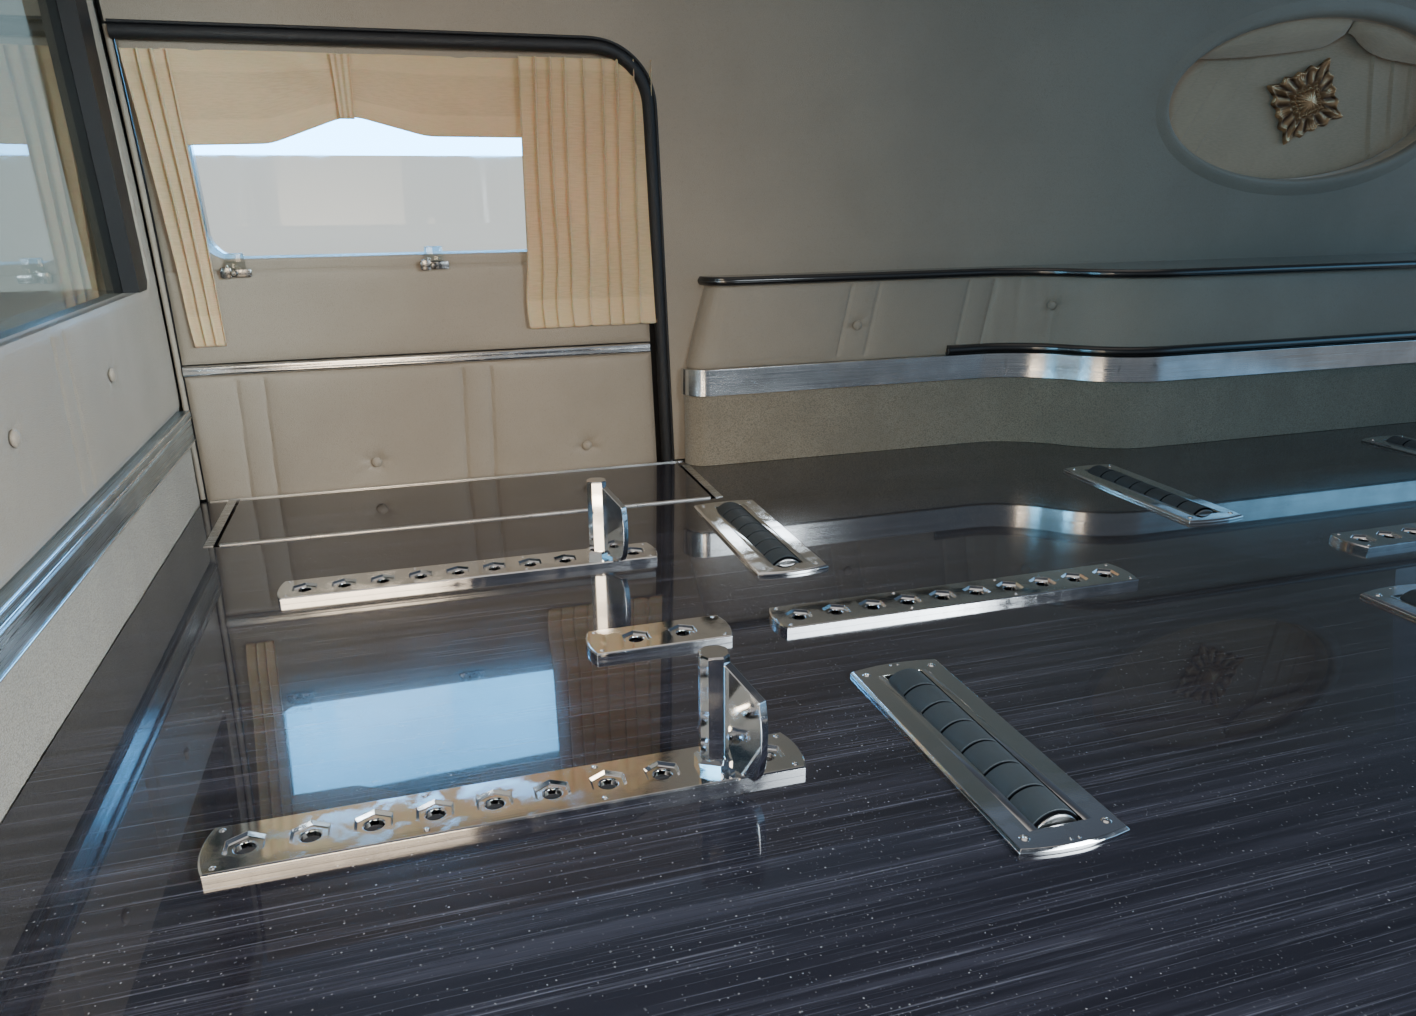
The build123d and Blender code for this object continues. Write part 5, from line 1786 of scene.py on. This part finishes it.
# %% Screws and roller washers
def screw_head(radius, height):
    """A raised countersunk head with a cross recess, on the origin."""
    bm = bmesh.new()
    profile = ((0.0, height), (0.55 * radius, 0.86 * height), (0.88 * radius, 0.42 * height),
               (radius, 0.10 * height), (radius, -0.3 * height))
    turned_knob(bm, profile, (0, 0, 0), Matrix.Identity(3), segments=20)
    bmesh.ops.remove_doubles(bm, verts=bm.verts, dist=1e-7)
    bmesh.ops.holes_fill(bm, edges=[edge for edge in bm.edges if edge.is_boundary], sides=0)
    bmesh.ops.recalc_face_normals(bm, faces=bm.faces)
    head = piece("screw_blank", bm, chrome, "root", angle=40)
    for long_side, wide_side in ((1.15, 0.24), (0.24, 1.15)):
        slot = bmesh.new()
        size = (long_side * radius, wide_side * radius, 2 * height)
        bevelled_block(slot, size, (0, 0, 1.45 * height), 0.02 * radius)
        cut_away(head, slot)
    print("screw head", len(head.data.polygons), "faces")
    mesh = head.data
    bpy.data.objects.remove(head)
    return mesh


def scatter(name, mesh, places, material, body):
    """Copies a small mesh to many places: (x, y, z, turn about Z)."""
    bm = bmesh.new()
    for x, y, z, turn in places:
        before = len(bm.verts)
        bm.from_mesh(mesh)
        bm.verts.ensure_lookup_table()
        bmesh.ops.transform(bm, matrix=Matrix.Translation((x, y, z)) @ Matrix.Rotation(turn, 4, "Z"),
                            verts=bm.verts[before:])
    return piece(name, bm, material, body, angle=40)


PLATE_TOP, PLATE_END, HOLE_STEP = 0.009, 0.034, 0.050
SCREW_SIDE = 0.025
plate_places = []
# plate's middle in Y, its start in X
for row_y, start in ((-0.283, 0.173), (0.283, 0.173), (0.0, 0.770), (0.0, 1.675)):
    first_hole = start + PLATE_END
    for x in (first_hole - 0.0200, first_hole + 3 * HOLE_STEP - 0.0075, first_hole + 6 * HOLE_STEP - 0.0075,
              first_hole + 9 * HOLE_STEP + 0.0200):
        for side in (-1, 1):
            plate_places.append((x, row_y + side * SCREW_SIDE, DECK + PLATE_TOP - 0.0002,
                                 31 * x + 7 * side))
for x in (0.5515, 0.6995):
    for side in (-1, 1):
        plate_places.append((x, side * SCREW_SIDE, DECK + PLATE_TOP - 0.0002, 29 * x + 5 * side))
scatter("plate_screws", screw_head(0.0031, 0.0012), plate_places, chrome, "root")

ROLLERS_X, ROLLER_AXIS, ROLLER_TOP = (0.857, 1.582, 2.307), -0.013, 0.006
roller_places, small_places = [], []
for x in ROLLERS_X:
    for side in (-1, 1):
        for dx in (-0.0395, 0.0395):
            for dy in (-0.148, 0.148):
                roller_places.append((x + dx, side * ROLLER_Y + dy, DECK + ROLLER_TOP - 0.0002,
                                      40 * x + 9 * dx + dy * 80))
        for dx, dy in ((-0.004, -0.1605), (0.004, -0.1605), (-0.004, 0.1605), (0.004, 0.1605)):
            small_places.append((x + dx, side * ROLLER_Y + dy, DECK + ROLLER_TOP - 0.0004,
                                 11 * x + dy * 50))
scatter("roller_plate_screws", screw_head(0.0046, 0.0016), roller_places, chrome, "root")
scatter("roller_plate_pips", screw_head(0.0020, 0.0009), small_places, chrome, "root")
print("screws", len(plate_places) + len(roller_places) + len(small_places))

# %% [markdown]
# ## Roller lips and end caps
# A thin lip of the plate reaches in over each side of a roller, so that only a hairline
# stays open. Each roller end carries a turned metal cap, which shows as a half-moon.

# %% Roller lips and end caps
LIP_OUT, LIP_IN, LIP_THICK = 0.0305, 0.0222, 0.0007
bm = bmesh.new()
for x in ROLLERS_X:
    for side in (-1, 1):
        for flank in (-1, 1):
            middle = x + flank * (LIP_OUT + LIP_IN) / 2
            at = (middle, side * ROLLER_Y, DECK + ROLLER_TOP - LIP_THICK / 2 + 0.00003)
            bevelled_block(bm, (LIP_OUT - LIP_IN, 0.284, LIP_THICK), at, 0.00025)
bmesh.ops.recalc_face_normals(bm, faces=bm.faces)
lips = piece("roller_lips", bm, chrome, "root", angle=35)

# radius, height from the roller's end
CAP_PROFILE = ((0.0085, 0.0), (0.0085, 0.0012), (0.0100, 0.0015), (0.0205, 0.0015), (0.0218, 0.0020),
               (0.0240, 0.0020), (0.0246, 0.0014), (0.0246, 0.0), (0.0085, 0.0))
sideways = Vector((0, 1, 0)).to_track_quat("Z", "X").to_matrix()
other_way = sideways @ Matrix.Rotation(math.pi, 3, "X")
for place_name, x in zip(("front", "middle", "rear"), ROLLERS_X):
    for side_name, side in (("left", -1), ("right", 1)):
        name = f"roller_{place_name}_{side_name}"
        bm = bmesh.new()
        for end, turn in ((-1, other_way), (1, sideways)):
            at = (x, side * ROLLER_Y + end * (ROLLER_HALF - 0.0002), DECK + ROLLER_AXIS)
            turned_knob(bm, CAP_PROFILE, at, turn, 48)
        bmesh.ops.remove_doubles(bm, verts=bm.verts, dist=1e-6)
        bmesh.ops.recalc_face_normals(bm, faces=bm.faces)
        piece(name + "_caps", bm, hinge_steel, name, angle=35)
print("lips", len(lips.data.polygons), "caps", 12)

# %% [markdown]
# ## Lines of the partition strip
# The strip across the partition is a rolled section: a bright bead along each edge, and
# a third one a quarter of the way down.

# %% Partition strip beads
for name, z in (("strip_bead_top", 0.1640), ("strip_bead_second", 0.1520), ("strip_bead_low", 0.1130)):
    half = wall_y(z) - 0.006
    points = [(0.0078, half * (i / 4 - 1), DECK + z) for i in range(9)]
    bead(name, points, 0.0011, bright_strip, "root", sides=3)
print("strip beads", 3)
